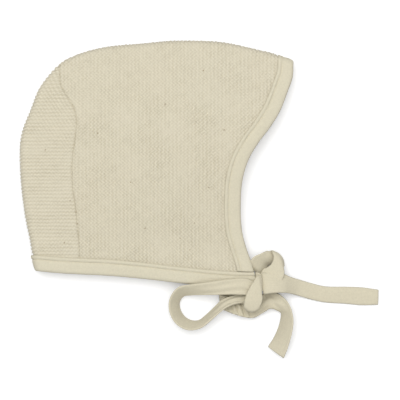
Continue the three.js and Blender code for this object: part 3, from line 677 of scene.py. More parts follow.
def normal_of(place, one, two):
    """Unit normal of a mapped surface, by small steps to both sides."""
    step = 0.004
    du = place(np.minimum(one + step, 1), two) - place(np.maximum(one - step, -1), two)
    dv = place(one, np.minimum(two + step, 1)) - place(one, np.maximum(two - step, -1))
    normal = np.cross(du, dv)
    return normal / np.linalg.norm(normal, axis=-1, keepdims=True)


def band_section(width):
    """(inward from the finished edge, out from the middle of the cloth) round the folded strip."""
    top = [
        (width, SLOT_HALF), (width + 0.0001, SLOT_HALF + BAND_LEG * 0.45),
        (width - 0.0001, SLOT_HALF + BAND_LEG * 0.85), (width - 0.0006, BAND_HALF + 0.00022),
        (width - 0.0013, BAND_HALF + 0.00034), (width - 0.0020, BAND_HALF + 0.00012),
        (width - 0.0024, BAND_HALF - 0.00030), (width - STITCH_LINE, BAND_HALF - 0.00055),
        (width - 0.0031, BAND_HALF - 0.00028), (width - 0.0036, BAND_HALF - 0.00002),
        (width - 0.0044, BAND_HALF + 0.00012), (width - 0.0056, BAND_HALF + 0.00010),
        (width - 0.0068, BAND_HALF + 0.00006),
        (0.0034, BAND_HALF + 0.00005), (0.0024, BAND_HALF), (0.0016, BAND_HALF * 0.95),
        (0.0009, BAND_HALF * 0.82), (0.0004, BAND_HALF * 0.62), (0.0001, BAND_HALF * 0.33),
    ]
    under = [(inward, -out) for inward, out in reversed(top)]
    floor = [(BAND_FLOOR, -SLOT_HALF), (BAND_FLOOR, SLOT_HALF)]
    return np.array(top + [(0, 0)] + under + floor), len(top)


def outside_in(made):
    """Turns the faces outwards if the mesh came out inside out."""
    mesh = made.data
    mesh.calc_loop_triangles()
    points = np.zeros(len(mesh.vertices) * 3, np.float32)
    mesh.vertices.foreach_get("co", points)
    corner = np.zeros(len(mesh.loop_triangles) * 3, np.int32)
    mesh.loop_triangles.foreach_get("vertices", corner)
    p = points.reshape(-1, 3)[corner.reshape(-1, 3)].astype(float)
    if np.einsum("ij,ij->", p[:, 0], np.cross(p[:, 1], p[:, 2])) < 0:
        mesh.flip_normals()


def tube_faces(count, around):
    """Four-cornered faces between closed rings, each with the same number of corners around."""
    ring = np.arange(count)[:, None] * around
    step = np.arange(around)[None, :]
    after = (step + 1) % around
    faces = (ring[:-1] + step, ring[:-1] + after, ring[1:] + after, ring[1:] + step)
    return np.stack(faces, axis=-1).reshape(-1, 4)


def channel(name, rings, top_count, section, material):
    """A closed folded strip from its rings: the two flat ends are bridged in narrow strips."""
    count, around = rings.shape[:2]
    up, down, nose = around - 1, around - 2, top_count
    ends = []
    for start, turn in ((0, 1), ((count - 1) * around, -1)):
        strips = [(i, i + 1, up) for i in range(nose)] + [(nose, down, up)]
        strips += [(i, i + 1, down) for i in range(nose, around - 3)]
        ends += [tuple(start + k for k in (strip[::-1] if turn > 0 else strip)) for strip in strips]
    uv = np.stack((np.repeat(run_along(rings[:, nose]), around), np.tile(run_along(section), count)), axis=-1)
    made = make_mesh(name, rings.reshape(-1, 3), tube_faces(count, around), np.array(ends), material, uv=uv)
    outside_in(made)
    return made


# Jersey: columns of tiny V stitches along the strip, on the strip's own UV map, and a mask of the valleys
# between the columns, used for painted shade.
jersey, jersey_in, jersey_out = new_group(
    "jersey_stitches",
    [("Column", "NodeSocketFloat", 0.0009), ("Stitch", "NodeSocketFloat", 0.0007)],
    [("Height", "NodeSocketFloat"), ("Valley Shade", "NodeSocketFloat")],
)
strip_uv = jersey.nodes.new("ShaderNodeUVMap")
strip_uv.uv_map = "cloth"
parts = jersey.nodes.new("ShaderNodeSeparateXYZ")
link(jersey, (strip_uv.outputs["UV"], parts.inputs[0]))
column = math_node(jersey, "DIVIDE", parts.outputs["Y"], jersey_in.outputs["Column"])
row = math_node(jersey, "DIVIDE", parts.outputs["X"], jersey_in.outputs["Stitch"])
fold_in_column = math_node(jersey, "PINGPONG", column, 0.5)
slanted = math_node(jersey, "ADD", row, math_node(jersey, "MULTIPLY", fold_in_column, 1.4))
stitch_wave = math_node(jersey, "SINE", math_node(jersey, "MULTIPLY", slanted, math.tau))
column_wave = math_node(jersey, "COSINE", math_node(jersey, "MULTIPLY", column, math.tau))
stitch_part = math_node(jersey, "MULTIPLY", stitch_wave, 0.35)
column_part = math_node(jersey, "MULTIPLY", column_wave, -0.5)
summed = math_node(jersey, "ADD", stitch_part, column_part)
stitch_height = math_node(jersey, "ADD", math_node(jersey, "MULTIPLY", summed, 0.5), 0.5)
# Painted shade: a mask of the valleys between the stitch columns.
valley_shade_mask = math_node(jersey, "MULTIPLY", math_node(jersey, "ADD", column_wave, 1.0), 0.5)
link(jersey, (stitch_height, jersey_out.inputs["Height"]), (valley_shade_mask, jersey_out.inputs["Valley Shade"]))


def jersey_material(name, colour, warm_colour, painted_shade_colour):
    """The cotton material with the jersey's stitches over it, and painted shade in the valleys between its
    columns.
    """
    material, tree, yarn, bump = cotton_material(name, colour, warm_colour, painted_shade_colour, 0.4, 0.25)
    stitches = tree.nodes.new("ShaderNodeGroup")
    stitches.node_tree = jersey
    fine_bump = tree.nodes.new("ShaderNodeBump")
    fine_bump.inputs["Strength"].default_value = 0.5
    fine_bump.inputs["Distance"].default_value = 0.00012
    link(
        tree,
        (math_node(tree, "MULTIPLY", stitches.outputs["Valley Shade"], 0.10), yarn.inputs["Painted Shade"]),
        (stitches.outputs["Height"], fine_bump.inputs["Height"]),
        (bump.outputs["Normal"], fine_bump.inputs["Normal"]),
        (fine_bump.outputs["Normal"], tree.nodes["Principled BSDF"].inputs["Normal"]),
    )
    return material


cream_jersey = jersey_material(
    "cream_jersey_binding", (0.652, 0.610, 0.472, 1), (0.640, 0.585, 0.445, 1), (0.46, 0.40, 0.29, 1)
)


def pucker(run, inward, width, seed):
    """Small pulls in the strip beside its stitches, one every few millimetres."""
    way = run[:, None] + 0 * inward
    near = np.exp(-(((inward - (width - 0.0036)) / 0.0022) ** 2))
    pull = wander(way, inward + 0 * way, 0.0034, seed)
    long = wander(way, inward * 0.4 + 0 * way, 0.012, seed + 1)
    lip = np.exp(-(((inward - (width - 0.0014)) / 0.0009) ** 2))
    lip = lip - 0.8 * np.exp(-(((inward - (width - STITCH_LINE)) / 0.0006) ** 2))
    rolled = lip * wander(way, 0 * way, 0.009, seed + 2)
    return 0.00009 * pull * near + 0.00013 * long * ease(0.0008, 0.003, inward) + 0.00014 * rolled


section, top_count = band_section(FRONT_BAND_WIDTH)
span = crown_down[-1] + FOLD_RADIUS * (math.pi / 2 - 1)
band_last = 1 - (NECK_BAND_WIDTH + FIT_GAP) / span
v = np.linspace(-band_last, band_last, 361)[:, None]
along = np.interp(depth_share(np.abs(v), crown_down[-1]), SHARES, crown_along)
a = 1 - section[None, :, 0] / along
v = v + 0 * a
run = np.linspace(-span, span, 361)
side = np.sign(section[None, :, 1])
thick = section[None, :, 1] + side * pucker(run, section[None, :, 0], FRONT_BAND_WIDTH, 51)
# Over the crown the lip lies flat, because the fold stretches it.
flat_lip = (1 - ease(0.0, 0.06, np.abs(v))) * ease(0.004, 0.0075, section[None, :, 0])
thick -= side * np.maximum(np.abs(section[None, :, 1]) - BAND_HALF + 0.0005, 0) * flat_lip
facing = -normal_of(crown_map, a, v)
rings = pressed(crown_map(a, v) + facing * thick[..., None])
over, under = STITCH_ROW, 2 * top_count - STITCH_ROW
sewn = slice(6, -6)
band_paths = [rings[sewn, over], rings[sewn, under]]
band_facings = [facing[sewn, over], -facing[sewn, under]]
front_band = channel("front_band_binding", rings, top_count, section, cream_jersey)
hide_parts("front_band")
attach(front_band, "root")

section, top_count = band_section(NECK_BAND_WIDTH)


def neck_rings(section):
    """Cloth middles and normals of rings from the upper front corner round the back to the lower one."""
    inward = section[:, 0]
    sides = []
    for side in (1, -1):
        a = (1 - np.linspace(0, 1, 181) * 0.985)[:, None] + 0 * inward[None, :]
        span = np.interp(a, SHARES, crown_down) + FOLD_RADIUS * (math.pi / 2 - 1)
        v = side * (1 - inward[None, :] / span)
        sides.append((crown_map(a, v), normal_of(crown_map, a, v)))
    c = np.linspace(0.90, -0.90, 109)[:, None] + 0 * inward[None, :]
    t = 1 - inward[None, :] / seam_length + 0 * c
    (upper, upper_normals), (lower, lower_normals) = sides
    middle = np.concatenate((upper, back_map(c, t), lower[::-1]))
    return middle, np.concatenate((upper_normals, normal_of(back_map, c, t), lower_normals[::-1]))


middle, normals = neck_rings(section)
run = run_along(middle[:, top_count])
side = np.sign(section[None, :, 1])
thick = section[None, :, 1] + side * pucker(run, section[None, :, 0], NECK_BAND_WIDTH, 61)
rings = pressed(middle - normals * thick[..., None])
sewn = slice(5, -5)
band_paths += [rings[sewn, over], rings[sewn, under]]
band_facings += [-normals[sewn, over], normals[sewn, under]]
neck_band = channel("neck_band_binding", rings, top_count, section, cream_jersey)
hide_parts("neck_band")
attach(neck_band, "root")


# Ties
# The neck binding carries on past the corners as two flat tapes of the same jersey, folded closed
# and stitched along one edge. They are tied in a loose bow, with one long loop to the left, a small
# one beside the face edge, and two short tails.
TIE_WIDTH = 0.011
TIE_WALL = 0.0018
TAPE_STEP = 0.0009
GATHER_PITCH = 0.0042
PLEATS_ACROSS = 2.2

# Stations along each tape, in tie widths from the bonnet's front lower corner: out, up, high; the
# turn and lean of the tape's width in degrees, and how wide it is; then how far its middle runs
# ahead at a fold (belly), how deep it is pleated along (pleat) and gathered across (gather).
TIE_UPPER_ROWS = [
    (-0.06, 0.48, 0.64, 90, 0, 0.95, 0, 0.0, 0.0),
    (0.12, 0.46, 0.70, 91, 0, 0.96, 0, 0.0, 0.0),
    (0.27, 0.35, 0.89, 93, 0, 0.97, 0, 0.0, 0.0),
    (0.15, 0.27, 1.15, 105, 0, 1.00, 0, 0.1, 0.0),
    (0.05, -0.04, 1.17, 125, 0, 1.01, 0, 0.1, 0.0),
    (-0.11, -0.43, 1.17, 145, 0, 1.04, 0, 0.1, 0.0),
    (-0.25, -0.83, 1.14, 164, 0, 1.00, -0.10, 0.0, 0.0),
    (-0.32, -1.10, 1.02, 174, 0, 0.93, -0.22, 0.0, 0.0),
    (-0.36, -0.92, 0.89, 173, 0, 0.86, -0.12, 0.0, 0.0),
    (-0.30, -0.50, 0.90, 196, 0, 0.84, 0, 0.2, 0.0),
    (-0.24, -0.14, 0.90, 236, 0, 0.92, 0, 0.5, 0.0),
    (-0.55, 0.08, 0.92, 262, 0, 1.00, 0, 0.9, 0.0),
    (-1.00, 0.13, 0.95, 268, 0, 1.00, 0, 0.9, 0.0),
    (-1.61, 0.11, 0.97, 268, -4, 0.94, 0, 0.7, 0.0),
    (-2.40, 0.05, 1.02, 270, -14, 0.88, 0, 0.4, 0.0),
    (-3.20, -0.02, 0.98, 275, -28, 0.85, 0, 0.2, 0.0),
    (-3.92, -0.09, 0.78, 283, -42, 0.91, 0, 0.0, 0.0),
    (-4.49, -0.22, 0.63, 300, -50, 1.05, 0, 0.0, 0.0),
    (-4.84, -0.71, 0.56, 340, -54, 1.05, 0, 0.0, 0.0),
    (-4.84, -1.31, 0.54, 5, -52, 1.05, 0, 0.0, 0.0),
    (-4.53, -1.88, 0.53, 37, -54, 1.05, 0, 0.0, 0.0),
    (-3.99, -2.19, 0.53, 69, -57, 1.00, 0, 0.0, 0.0),
    (-3.38, -2.14, 0.52, 109, -62, 0.86, 0, 0.0, 0.0),
    (-2.81, -1.72, 0.55, 140, -62, 0.82, 0, 0.2, 0.0),
    (-2.36, -1.31, 0.62, 142, -58, 0.78, 0, 0.4, 0.0),
    (-1.91, -0.92, 0.78, 130, -45, 0.72, 0, 0.7, 0.0),
    (-1.37, -0.70, 0.71, 111, -30, 0.60, 0, 0.8, 0.0),
    (-0.77, -0.58, 0.60, 96, -10, 0.61, 0, 0.5, 0.0),
    (-0.24, -0.48, 0.57, 93, 0, 0.70, 0, 0.2, 0.0),
    (-0.04, -0.49, 0.35, 90, 0, 0.71, 0, 0.0, 0.0),
    (-0.25, -0.52, 0.12, 92, 0, 0.76, 0, 0.0, 0.0),
    (-1.07, -0.62, 0.11, 94, 0, 0.88, 0, 0.0, 0.0),
    (-1.89, -0.72, 0.11, 99, 0, 0.93, 0, 0.0, 0.0),
    (-2.10, -0.80, 0.22, 100, 0, 0.96, 0, 0.0, 0.0),
    (-1.89, -0.90, 0.34, 98, -4, 0.95, 0, 0.0, 0.5),
    (-1.32, -1.11, 0.37, 94, -14, 0.95, 0, 0.0, 1.0),
    (-0.70, -1.31, 0.36, 90, -16, 0.88, 0, 0.0, 1.0),
    (-0.14, -1.38, 0.32, 88, -8, 0.80, 0, 0.4, 0.2),
    (0.33, -0.98, 0.33, 94, -4, 1.06, 0, 0.8, 0.0),
    (0.80, -0.68, 0.36, 90, -16, 1.14, 0, 1.0, 0.0),
    (1.24, -0.84, 0.41, 62, 8, 0.96, 0, 0.8, 0.0),
    (1.57, -1.12, 0.43, 36, 30, 0.95, 0, 0.2, 0.0),
    (1.79, -1.45, 0.44, 9, 48, 0.96, 0, 0.0, 0.0),
    (1.82, -1.89, 0.45, -7, 47, 1.06, 0, 0.0, 0.0),
    (1.69, -2.54, 0.45, -7, 44, 1.16, 0, 0.0, 0.0),
    (1.46, -3.19, 0.40, -12, 37, 1.20, 0, 0.0, 0.0),
    (1.17, -3.84, 0.31, -35, 25, 1.22, 0, 0.0, 0.0),
]
TIE_LOWER_ROWS = [
    (-0.06, 0.48, 0.21, 90, 0, 0.95, 0, 0.0, 0.0),
    (0.20, 0.60, 0.20, 125, 4, 1.00, 0, 0.0, 0.0),
    (0.21, 0.92, 0.27, 157, 14, 1.04, 0, 0.0, 0.0),
    (0.18, 1.18, 0.34, 162, 24, 1.14, 0, 0.0, 0.0),
    (0.22, 1.52, 0.41, 155, 32, 1.34, 0, 0.0, 0.0),
    (0.62, 1.74, 0.39, 136, 32, 1.14, 0, 0.0, 0.0),
    (0.97, 1.78, 0.30, 127, 16, 1.14, 0.06, 0.0, 0.0),
    (1.17, 1.70, 0.26, 128, 4, 1.25, 0.14, 0.0, 0.0),
    (1.27, 1.75, 0.42, 128, 2, 1.24, 0.20, 0.0, 0.0),
    (1.27, 1.66, 0.62, 125, 0, 1.18, 0.14, 0.0, 0.0),
    (1.33, 1.38, 0.72, 124, -4, 1.14, 0.05, 0.0, 0.0),
    (1.20, 0.98, 0.74, 124, -4, 1.16, 0, 0.0, 0.0),
    (0.84, 0.68, 0.66, 112, 0, 1.20, 0, 0.0, 0.0),
    (0.52, 0.60, 0.58, 100, 0, 1.12, -0.10, 0.0, 0.0),
    (0.42, 0.47, 0.68, 104, -4, 0.94, -0.22, 0.1, 0.0),
    (0.60, 0.30, 0.82, 72, -10, 1.32, -0.10, 0.3, 0.0),
    (1.04, 0.37, 0.84, 84, -18, 1.32, 0, 0.3, 0.0),
    (1.58, 0.31, 0.72, 89, -16, 1.17, 0, 0.1, 0.0),
    (2.02, 0.17, 0.49, 89, -4, 1.00, 0, 0.0, 0.0),
    (2.54, 0.01, 0.25, 84, 0, 0.96, 0, 0.0, 0.0),
    (3.20, -0.19, 0.13, 84, 0, 0.96, 0, 0.0, 0.0),
    (4.06, -0.39, 0.09, 85, 0, 0.95, 0, 0.0, 0.0),
    (5.33, -0.45, 0.09, 89, 0, 1.01, 0, 0.0, 0.0),
    (6.28, -0.51, 0.09, 89, 0, 1.06, 0, 0.0, 0.0),
    (7.29, -0.57, 0.09, 88, 0, 0.90, 0, 0.0, 0.0),
]


def smooth_column(knots, values, at):
    """A smooth value between the rows of a column, with the rows' own spacing."""
    values = np.asarray(values, float)
    i = np.clip(np.searchsorted(knots, at, side="left") - 1, 0, len(knots) - 2)
    steps = np.diff(knots)
    rates = np.diff(values) / steps
    slope = (rates[:-1] * steps[1:] + rates[1:] * steps[:-1]) / (steps[1:] + steps[:-1])
    slope = np.concatenate(([rates[0]], slope, [rates[-1]]))
    h = steps[i]
    t = (at - knots[i]) / h
    return (
        (2 * t**3 - 3 * t**2 + 1) * values[i] + (t**3 - 2 * t**2 + t) * h * slope[i]
        + (3 * t**2 - 2 * t**3) * values[i + 1] + (t**3 - t**2) * h * slope[i + 1]
    )


def tape_rings(rows, seed):
    """Rings of a soft folded tape along its rows, the way run up to each, and the way round a ring."""
    rows = np.array(rows, float)
    home = np.array((NECK_EDGE[-1][0] * BONNET_DEPTH, NECK_EDGE[-1][1] * BONNET_HEIGHT, 0))
    at = rows[:, :3] * TIE_WIDTH + home
    turns = np.degrees(np.unwrap(np.radians(rows[:, 3])))
    knots = np.concatenate(([0], np.cumsum(np.sqrt(steps_of(at) * 1000))))

    def place(k):
        return np.stack([smooth_column(knots, at[:, i], k) for i in range(3)], axis=-1)

    dense = np.linspace(0, knots[-1], 4000)
    run = run_along(place(dense))
    even = run + 0.002 * dense
    stations = np.interp(np.linspace(0, even[-1], int(run[-1] / TAPE_STEP)), even, dense)
    middle = place(stations)
    ahead = place(np.minimum(stations + 0.02, knots[-1])) - place(np.maximum(stations - 0.02, 0))
    ahead /= np.linalg.norm(ahead, axis=1, keepdims=True)
    turn = np.radians(smooth_column(knots, turns, stations))
    lean = np.radians(smooth_column(knots, rows[:, 4], stations))
    share, belly, pleated, gathered = (smooth_column(knots, rows[:, i], stations) for i in (5, 6, 7, 8))
    width = np.stack((np.cos(turn) * np.cos(lean), np.sin(turn) * np.cos(lean), np.sin(lean)), axis=-1)
    onward = np.stack((np.sin(turn), -np.cos(turn), turn * 0), axis=-1)
    normal = np.cross(ahead, width)
    normal /= np.linalg.norm(normal, axis=1, keepdims=True)
    for i in range(1, len(normal)):
        if normal[i] @ normal[i - 1] < 0:
            normal[i] *= -1
    way = np.interp(stations, dense, run)
    w = 0.225 * np.sin(np.linspace(-math.pi / 2, math.pi / 2, 21)) + 0.275 * np.linspace(-1, 1, 21)
    round_edge = np.sqrt(np.maximum(1 - np.abs(2 * w) ** 7, 0))
    stitch_groove = np.exp(-(((w - 0.33) / 0.035) ** 2))
    fat = 0.5 * round_edge * (0.94 + 0.10 * np.cos(w * math.tau)) - 0.13 * stitch_groove
    drift = wander(way, way * 0, 0.03, seed)[:, None]
    pleat = np.cos(w[None, :] * math.tau * PLEATS_ACROSS + 0.9 * drift)
    gather = np.cos((way[:, None] / GATHER_PITCH + 0.9 * w[None, :]) * math.tau)
    ripple = wander(way[:, None] + 0 * w, w[None, :] * TIE_WIDTH + 0 * way[:, None], 0.009, seed + 1)
    shift = (0.24 * pleated[:, None] * pleat + 0.66 * gathered[:, None] * gather + 0.05 * ripple) * round_edge
    rings = []
    for sign, order in ((1, slice(None)), (-1, slice(-2, 0, -1))):
        n = (sign * fat[None, :] + shift)[:, order]
        bow = (belly[:, None] * (1 - 4 * w[order][None, :] ** 2)) * TIE_WIDTH
        rings.append(
            middle[:, None] + width[:, None] * (w[order][None, :] * share[:, None] * TIE_WIDTH)[..., None]
            + normal[:, None] * (n * TIE_WALL)[..., None] + onward[:, None] * bow[..., None]
        )
    across = np.concatenate((w, (1 - w)[1:-1])) * TIE_WIDTH
    return np.concatenate(rings, axis=1), way, across


def tape(name, rows, material, seed):
    """A closed soft tape along its rows, and its length."""
    rings, way, across = tape_rings(rows, seed)
    count, around = rings.shape[:2]
    ends = []
    for start, turn in ((0, 1), ((count - 1) * around, -1)):
        strips = []
        for i in range(around // 2 - 1):
            one, two, three, four = i, i + 1, (around - i - 1) % around, (around - i) % around
            strips += [(one, two, three)] if i == 0 else [(one, two, three), (one, three, four)]
        strips.append((around // 2 - 1, around // 2, around // 2 + 1))
        ends += [tuple(start + k for k in (strip[::-1] if turn > 0 else strip)) for strip in strips]
    uv = np.stack((np.repeat(way, around), np.tile(across, count)), axis=-1)
    corners = pressed(rings).reshape(-1, 3)
    made = make_mesh(name, corners, tube_faces(count, around), np.array(ends), material, uv=uv)
    outside_in(made)
    return made, way[-1]


# The tapes take their own copy of the jersey, a little darker and warmer than the bindings'.
tape_jersey = jersey_material(
    "cream_jersey_tape", (0.644, 0.599, 0.458, 1), (0.632, 0.572, 0.428, 1), (0.44, 0.37, 0.25, 1)
)
upper_tie, upper_length = tape("tie_upper_tape", TIE_UPPER_ROWS, tape_jersey, 71)
lower_tie, lower_length = tape("tie_lower_tape", TIE_LOWER_ROWS, tape_jersey, 81)
for tie, node, length in ((upper_tie, "tie_upper", upper_length), (lower_tie, "tie_lower", lower_length)):
    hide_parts(node)
    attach(tie, "root")


# Stitches
# Cream thread: a row of short stitches sunk in the groove of each binding, on the upper and the lower
# side, and an overcast row that laces the back panel to the crown panel along the seam.
THREAD_RADIUS = 0.00020
STITCH_PITCH = 0.0028


def stitch_tree(name):
    """Geometry nodes: short rods of thread along a path, lying on the cloth and turned by a slant."""
    tree = bpy.data.node_groups.new(name, "GeometryNodeTree")
    face = tree.interface
    face.new_socket("Path", in_out="INPUT", socket_type="NodeSocketGeometry")
    sizes = (("Pitch", STITCH_PITCH), ("Length", 0.002), ("Radius", THREAD_RADIUS), ("Slant", 0.0))
    for label, value in sizes:
        face.new_socket(label, in_out="INPUT", socket_type="NodeSocketFloat").default_value = value
    face.new_socket("Thread", in_out="INPUT", socket_type="NodeSocketMaterial")
    face.new_socket("Stitches", in_out="OUTPUT", socket_type="NodeSocketGeometry")
    nodes = tree.nodes
    start, end = nodes.new("NodeGroupInput"), nodes.new("NodeGroupOutput")
    to_curve = nodes.new("GeometryNodeMeshToCurve")
    spaced = nodes.new("GeometryNodeResampleCurve")
    spaced.mode = "LENGTH"
    rod = nodes.new("GeometryNodeMeshUVSphere")
    rod.inputs["Segments"].default_value = 8
    rod.inputs["Rings"].default_value = 6
    rod.inputs["Radius"].default_value = 1.0
    size = nodes.new("ShaderNodeCombineXYZ")
    half_length = nodes.new("ShaderNodeMath")
    half_length.operation = "MULTIPLY"
    half_length.inputs[1].default_value = 0.5
    shaped = nodes.new("GeometryNodeTransform")
    facing = nodes.new("GeometryNodeInputNamedAttribute")
    facing.data_type = "FLOAT_VECTOR"
    facing.inputs["Name"].default_value = "facing"
    tangent = nodes.new("GeometryNodeInputTangent")
    up = nodes.new("FunctionNodeAlignRotationToVector")
    up.axis = "Z"
    ahead = nodes.new("FunctionNodeAlignRotationToVector")
    ahead.axis = "X"
    ahead.pivot_axis = "Z"
    slant = nodes.new("FunctionNodeAxisAngleToRotation")
    slant.inputs["Axis"].default_value = (0, 0, 1)
    turned = nodes.new("FunctionNodeRotateRotation")
    turned.rotation_space = "LOCAL"
    placed = nodes.new("GeometryNodeInstanceOnPoints")
    real = nodes.new("GeometryNodeRealizeInstances")
    smooth = nodes.new("GeometryNodeSetShadeSmooth")
    thread = nodes.new("GeometryNodeSetMaterial")
    link(
        tree,
        (start.outputs["Path"], to_curve.inputs["Mesh"]),
        (to_curve.outputs["Curve"], spaced.inputs["Curve"]),
        (start.outputs["Pitch"], spaced.inputs["Length"]),
        (start.outputs["Length"], half_length.inputs[0]),
        (half_length.outputs[0], size.inputs["X"]),
        (start.outputs["Radius"], size.inputs["Y"]),
        (start.outputs["Radius"], size.inputs["Z"]),
        (rod.outputs["Mesh"], shaped.inputs["Geometry"]),
        (size.outputs[0], shaped.inputs["Scale"]),
        (facing.outputs["Attribute"], up.inputs["Vector"]),
        (up.outputs["Rotation"], ahead.inputs["Rotation"]),
        (tangent.outputs["Tangent"], ahead.inputs["Vector"]),
        (start.outputs["Slant"], slant.inputs["Angle"]),
        (ahead.outputs["Rotation"], turned.inputs["Rotation"]),
        (slant.outputs["Rotation"], turned.inputs["Rotate By"]),
        (spaced.outputs["Curve"], placed.inputs["Points"]),
        (shaped.outputs["Geometry"], placed.inputs["Instance"]),
        (turned.outputs["Rotation"], placed.inputs["Rotation"]),
        (placed.outputs["Instances"], real.inputs["Geometry"]),
        (real.outputs["Geometry"], smooth.inputs[0]),
        (smooth.outputs[0], thread.inputs["Geometry"]),
        (start.outputs["Thread"], thread.inputs["Material"]),
        (thread.outputs["Geometry"], end.inputs["Stitches"]),
    )
    return tree


def grown(name, tree, paths, facings, values):
    """The tree's result on some paths, as one plain mesh object at the origin."""
    seed = bpy.data.meshes.new(name + "_path")
    points = np.concatenate(paths) - MIDDLE
    edges = []
    start = 0
    for path in paths:
        edges += [(start + i, start + i + 1) for i in range(len(path) - 1)]
        start += len(path)
    seed.from_pydata(points.tolist(), edges, [])
    layer = seed.attributes.new("facing", "FLOAT_VECTOR", "POINT")
    layer.data.foreach_set("vector", np.concatenate(facings).astype(np.float32).ravel())
    holder = bpy.data.objects.new(name + "_path", seed)
    bpy.context.scene.collection.objects.link(holder)
    modifier = holder.modifiers.new("grow", "NODES")
    modifier.node_group = tree
    for item in tree.interface.items_tree:
        if item.item_type == "SOCKET" and item.in_out == "INPUT" and item.name in values:
            modifier[item.identifier] = values[item.name]
    bpy.context.view_layer.update()
    ready = holder.evaluated_get(bpy.context.evaluated_depsgraph_get())
    mesh = bpy.data.meshes.new_from_object(ready)
    mesh.name = name
    made = bpy.data.objects.new(name, mesh)
    bpy.context.scene.collection.objects.link(made)
    holder.modifiers.clear()
    bpy.data.objects.remove(holder)
    return made


cream_thread = cotton_material(
    "cream_thread", (0.66, 0.60, 0.45, 1), (0.64, 0.57, 0.42, 1), (0.5, 0.43, 0.3, 1), 0.4, 0.5
)[0]
rods = stitch_tree("stitch_row")
band_stitches = grown(
    "binding_stitches", rods, band_paths, band_facings,
    {"Pitch": STITCH_PITCH, "Length": 0.0022, "Radius": THREAD_RADIUS, "Slant": 0.0, "Thread": cream_thread},
)
seam_stitches = grown(
    "seam_stitches", rods, seam_paths, seam_facings,
    {"Pitch": 0.0021, "Length": 0.0021, "Radius": 0.00018, "Slant": 1.05, "Thread": cream_thread},
)
for stitches in (band_stitches, seam_stitches):
    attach(stitches, "root")


# Neps
# Little brown bits of cotton seed and husk, spun into the undyed yarn and held in its loops. They are
# scattered over the upper side, at (forward, up) shares of the bonnet's depth and height.
NEP_SIZE = 0.00045
NEPS = [
    (0.669, 0.880), (0.688, 0.409), (0.283, 0.629), (0.619, 0.159), (0.181, 0.355), (0.205, 0.310),
    (0.207, 0.262), (0.108, 0.238), (0.163, 0.187), (0.455, 0.244), (0.583, 0.202), (0.634, 0.266),
    (0.402, 0.430), (0.745, 0.640), (0.530, 0.742), (0.090, 0.560),
]


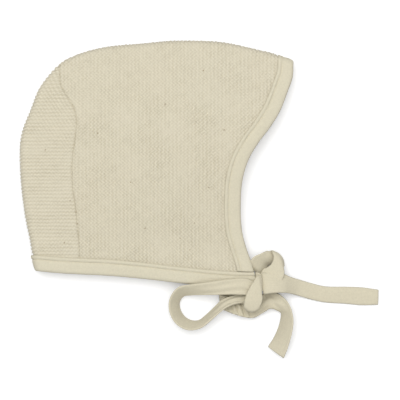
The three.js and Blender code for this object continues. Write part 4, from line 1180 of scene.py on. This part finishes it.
def nep_tree():
    """Geometry nodes: a squat rough bit on each point, turned at random about the cloth's own normal."""
    tree = bpy.data.node_groups.new("neps", "GeometryNodeTree")
    face = tree.interface
    face.new_socket("Points", in_out="INPUT", socket_type="NodeSocketGeometry")
    face.new_socket("Size", in_out="INPUT", socket_type="NodeSocketFloat").default_value = NEP_SIZE
    face.new_socket("Seed", in_out="INPUT", socket_type="NodeSocketInt").default_value = 5
    face.new_socket("Husk", in_out="INPUT", socket_type="NodeSocketMaterial")
    face.new_socket("Bits", in_out="OUTPUT", socket_type="NodeSocketGeometry")
    nodes = tree.nodes
    start, end = nodes.new("NodeGroupInput"), nodes.new("NodeGroupOutput")
    bit = nodes.new("GeometryNodeMeshIcoSphere")
    bit.inputs["Radius"].default_value = 1.0
    bit.inputs["Subdivisions"].default_value = 3
    rough = nodes.new("GeometryNodeSetPosition")
    lump = nodes.new("ShaderNodeTexNoise")
    lump.noise_dimensions = "3D"
    lump.inputs["Scale"].default_value = 1.6
    centred = nodes.new("ShaderNodeVectorMath")
    centred.operation = "SUBTRACT"
    centred.inputs[1].default_value = (0.5, 0.5, 0.5)
    bulge = nodes.new("ShaderNodeVectorMath")
    bulge.operation = "MULTIPLY"
    bulge.inputs[1].default_value = (1.2, 1.2, 1.2)
    squat = nodes.new("GeometryNodeTransform")
    squat.inputs["Scale"].default_value = (1.0, 0.55, 0.35)
    points = nodes.new("GeometryNodeMeshToPoints")
    facing = nodes.new("GeometryNodeInputNamedAttribute")
    facing.data_type = "FLOAT_VECTOR"
    facing.inputs["Name"].default_value = "facing"
    up = nodes.new("FunctionNodeAlignRotationToVector")
    up.axis = "Z"
    roll = nodes.new("FunctionNodeRandomValue")
    roll.data_type = "FLOAT"
    roll.inputs[3].default_value = math.tau
    about = nodes.new("FunctionNodeAxisAngleToRotation")
    about.inputs["Axis"].default_value = (0, 0, 1)
    turned = nodes.new("FunctionNodeRotateRotation")
    turned.rotation_space = "LOCAL"
    placed = nodes.new("GeometryNodeInstanceOnPoints")
    real = nodes.new("GeometryNodeRealizeInstances")
    husk = nodes.new("GeometryNodeSetMaterial")
    link(
        tree,
        (start.outputs["Points"], points.inputs["Mesh"]),
        (lump.outputs["Color"], centred.inputs[0]),
        (centred.outputs[0], bulge.inputs[0]),
        (bulge.outputs[0], rough.inputs["Offset"]),
        (bit.outputs["Mesh"], rough.inputs["Geometry"]),
        (rough.outputs["Geometry"], squat.inputs["Geometry"]),
        (facing.outputs["Attribute"], up.inputs["Vector"]),
        (start.outputs["Seed"], roll.inputs["Seed"]),
        (roll.outputs[1], about.inputs["Angle"]),
        (up.outputs["Rotation"], turned.inputs["Rotation"]),
        (about.outputs["Rotation"], turned.inputs["Rotate By"]),
        (points.outputs["Points"], placed.inputs["Points"]),
        (squat.outputs["Geometry"], placed.inputs["Instance"]),
        (turned.outputs["Rotation"], placed.inputs["Rotation"]),
        (start.outputs["Size"], placed.inputs["Scale"]),
        (placed.outputs["Instances"], real.inputs["Geometry"]),
        (real.outputs["Geometry"], husk.inputs["Geometry"]),
        (start.outputs["Husk"], husk.inputs["Material"]),
        (husk.outputs["Geometry"], end.inputs["Bits"]),
    )
    return tree


husk_brown = cotton_material(
    "husk_brown", (0.30, 0.20, 0.10, 1), (0.22, 0.14, 0.07, 1), (0.2, 0.12, 0.05, 1), 0.6, 0.4
)[0]
nep_points, nep_facings = [], []
for forward, up in NEPS:
    spot = np.array((forward * BONNET_DEPTH, up * BONNET_HEIGHT))
    nearest = np.argmin(((upper_skin[:, :2] - spot) ** 2).sum(axis=1))
    nep_points.append(upper_skin[nearest][None])
    nep_facings.append(upper_facing[nearest][None])
neps = grown("neps", nep_tree(), nep_points, nep_facings, {"Size": NEP_SIZE, "Seed": 5, "Husk": husk_brown})
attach(neps, "root")
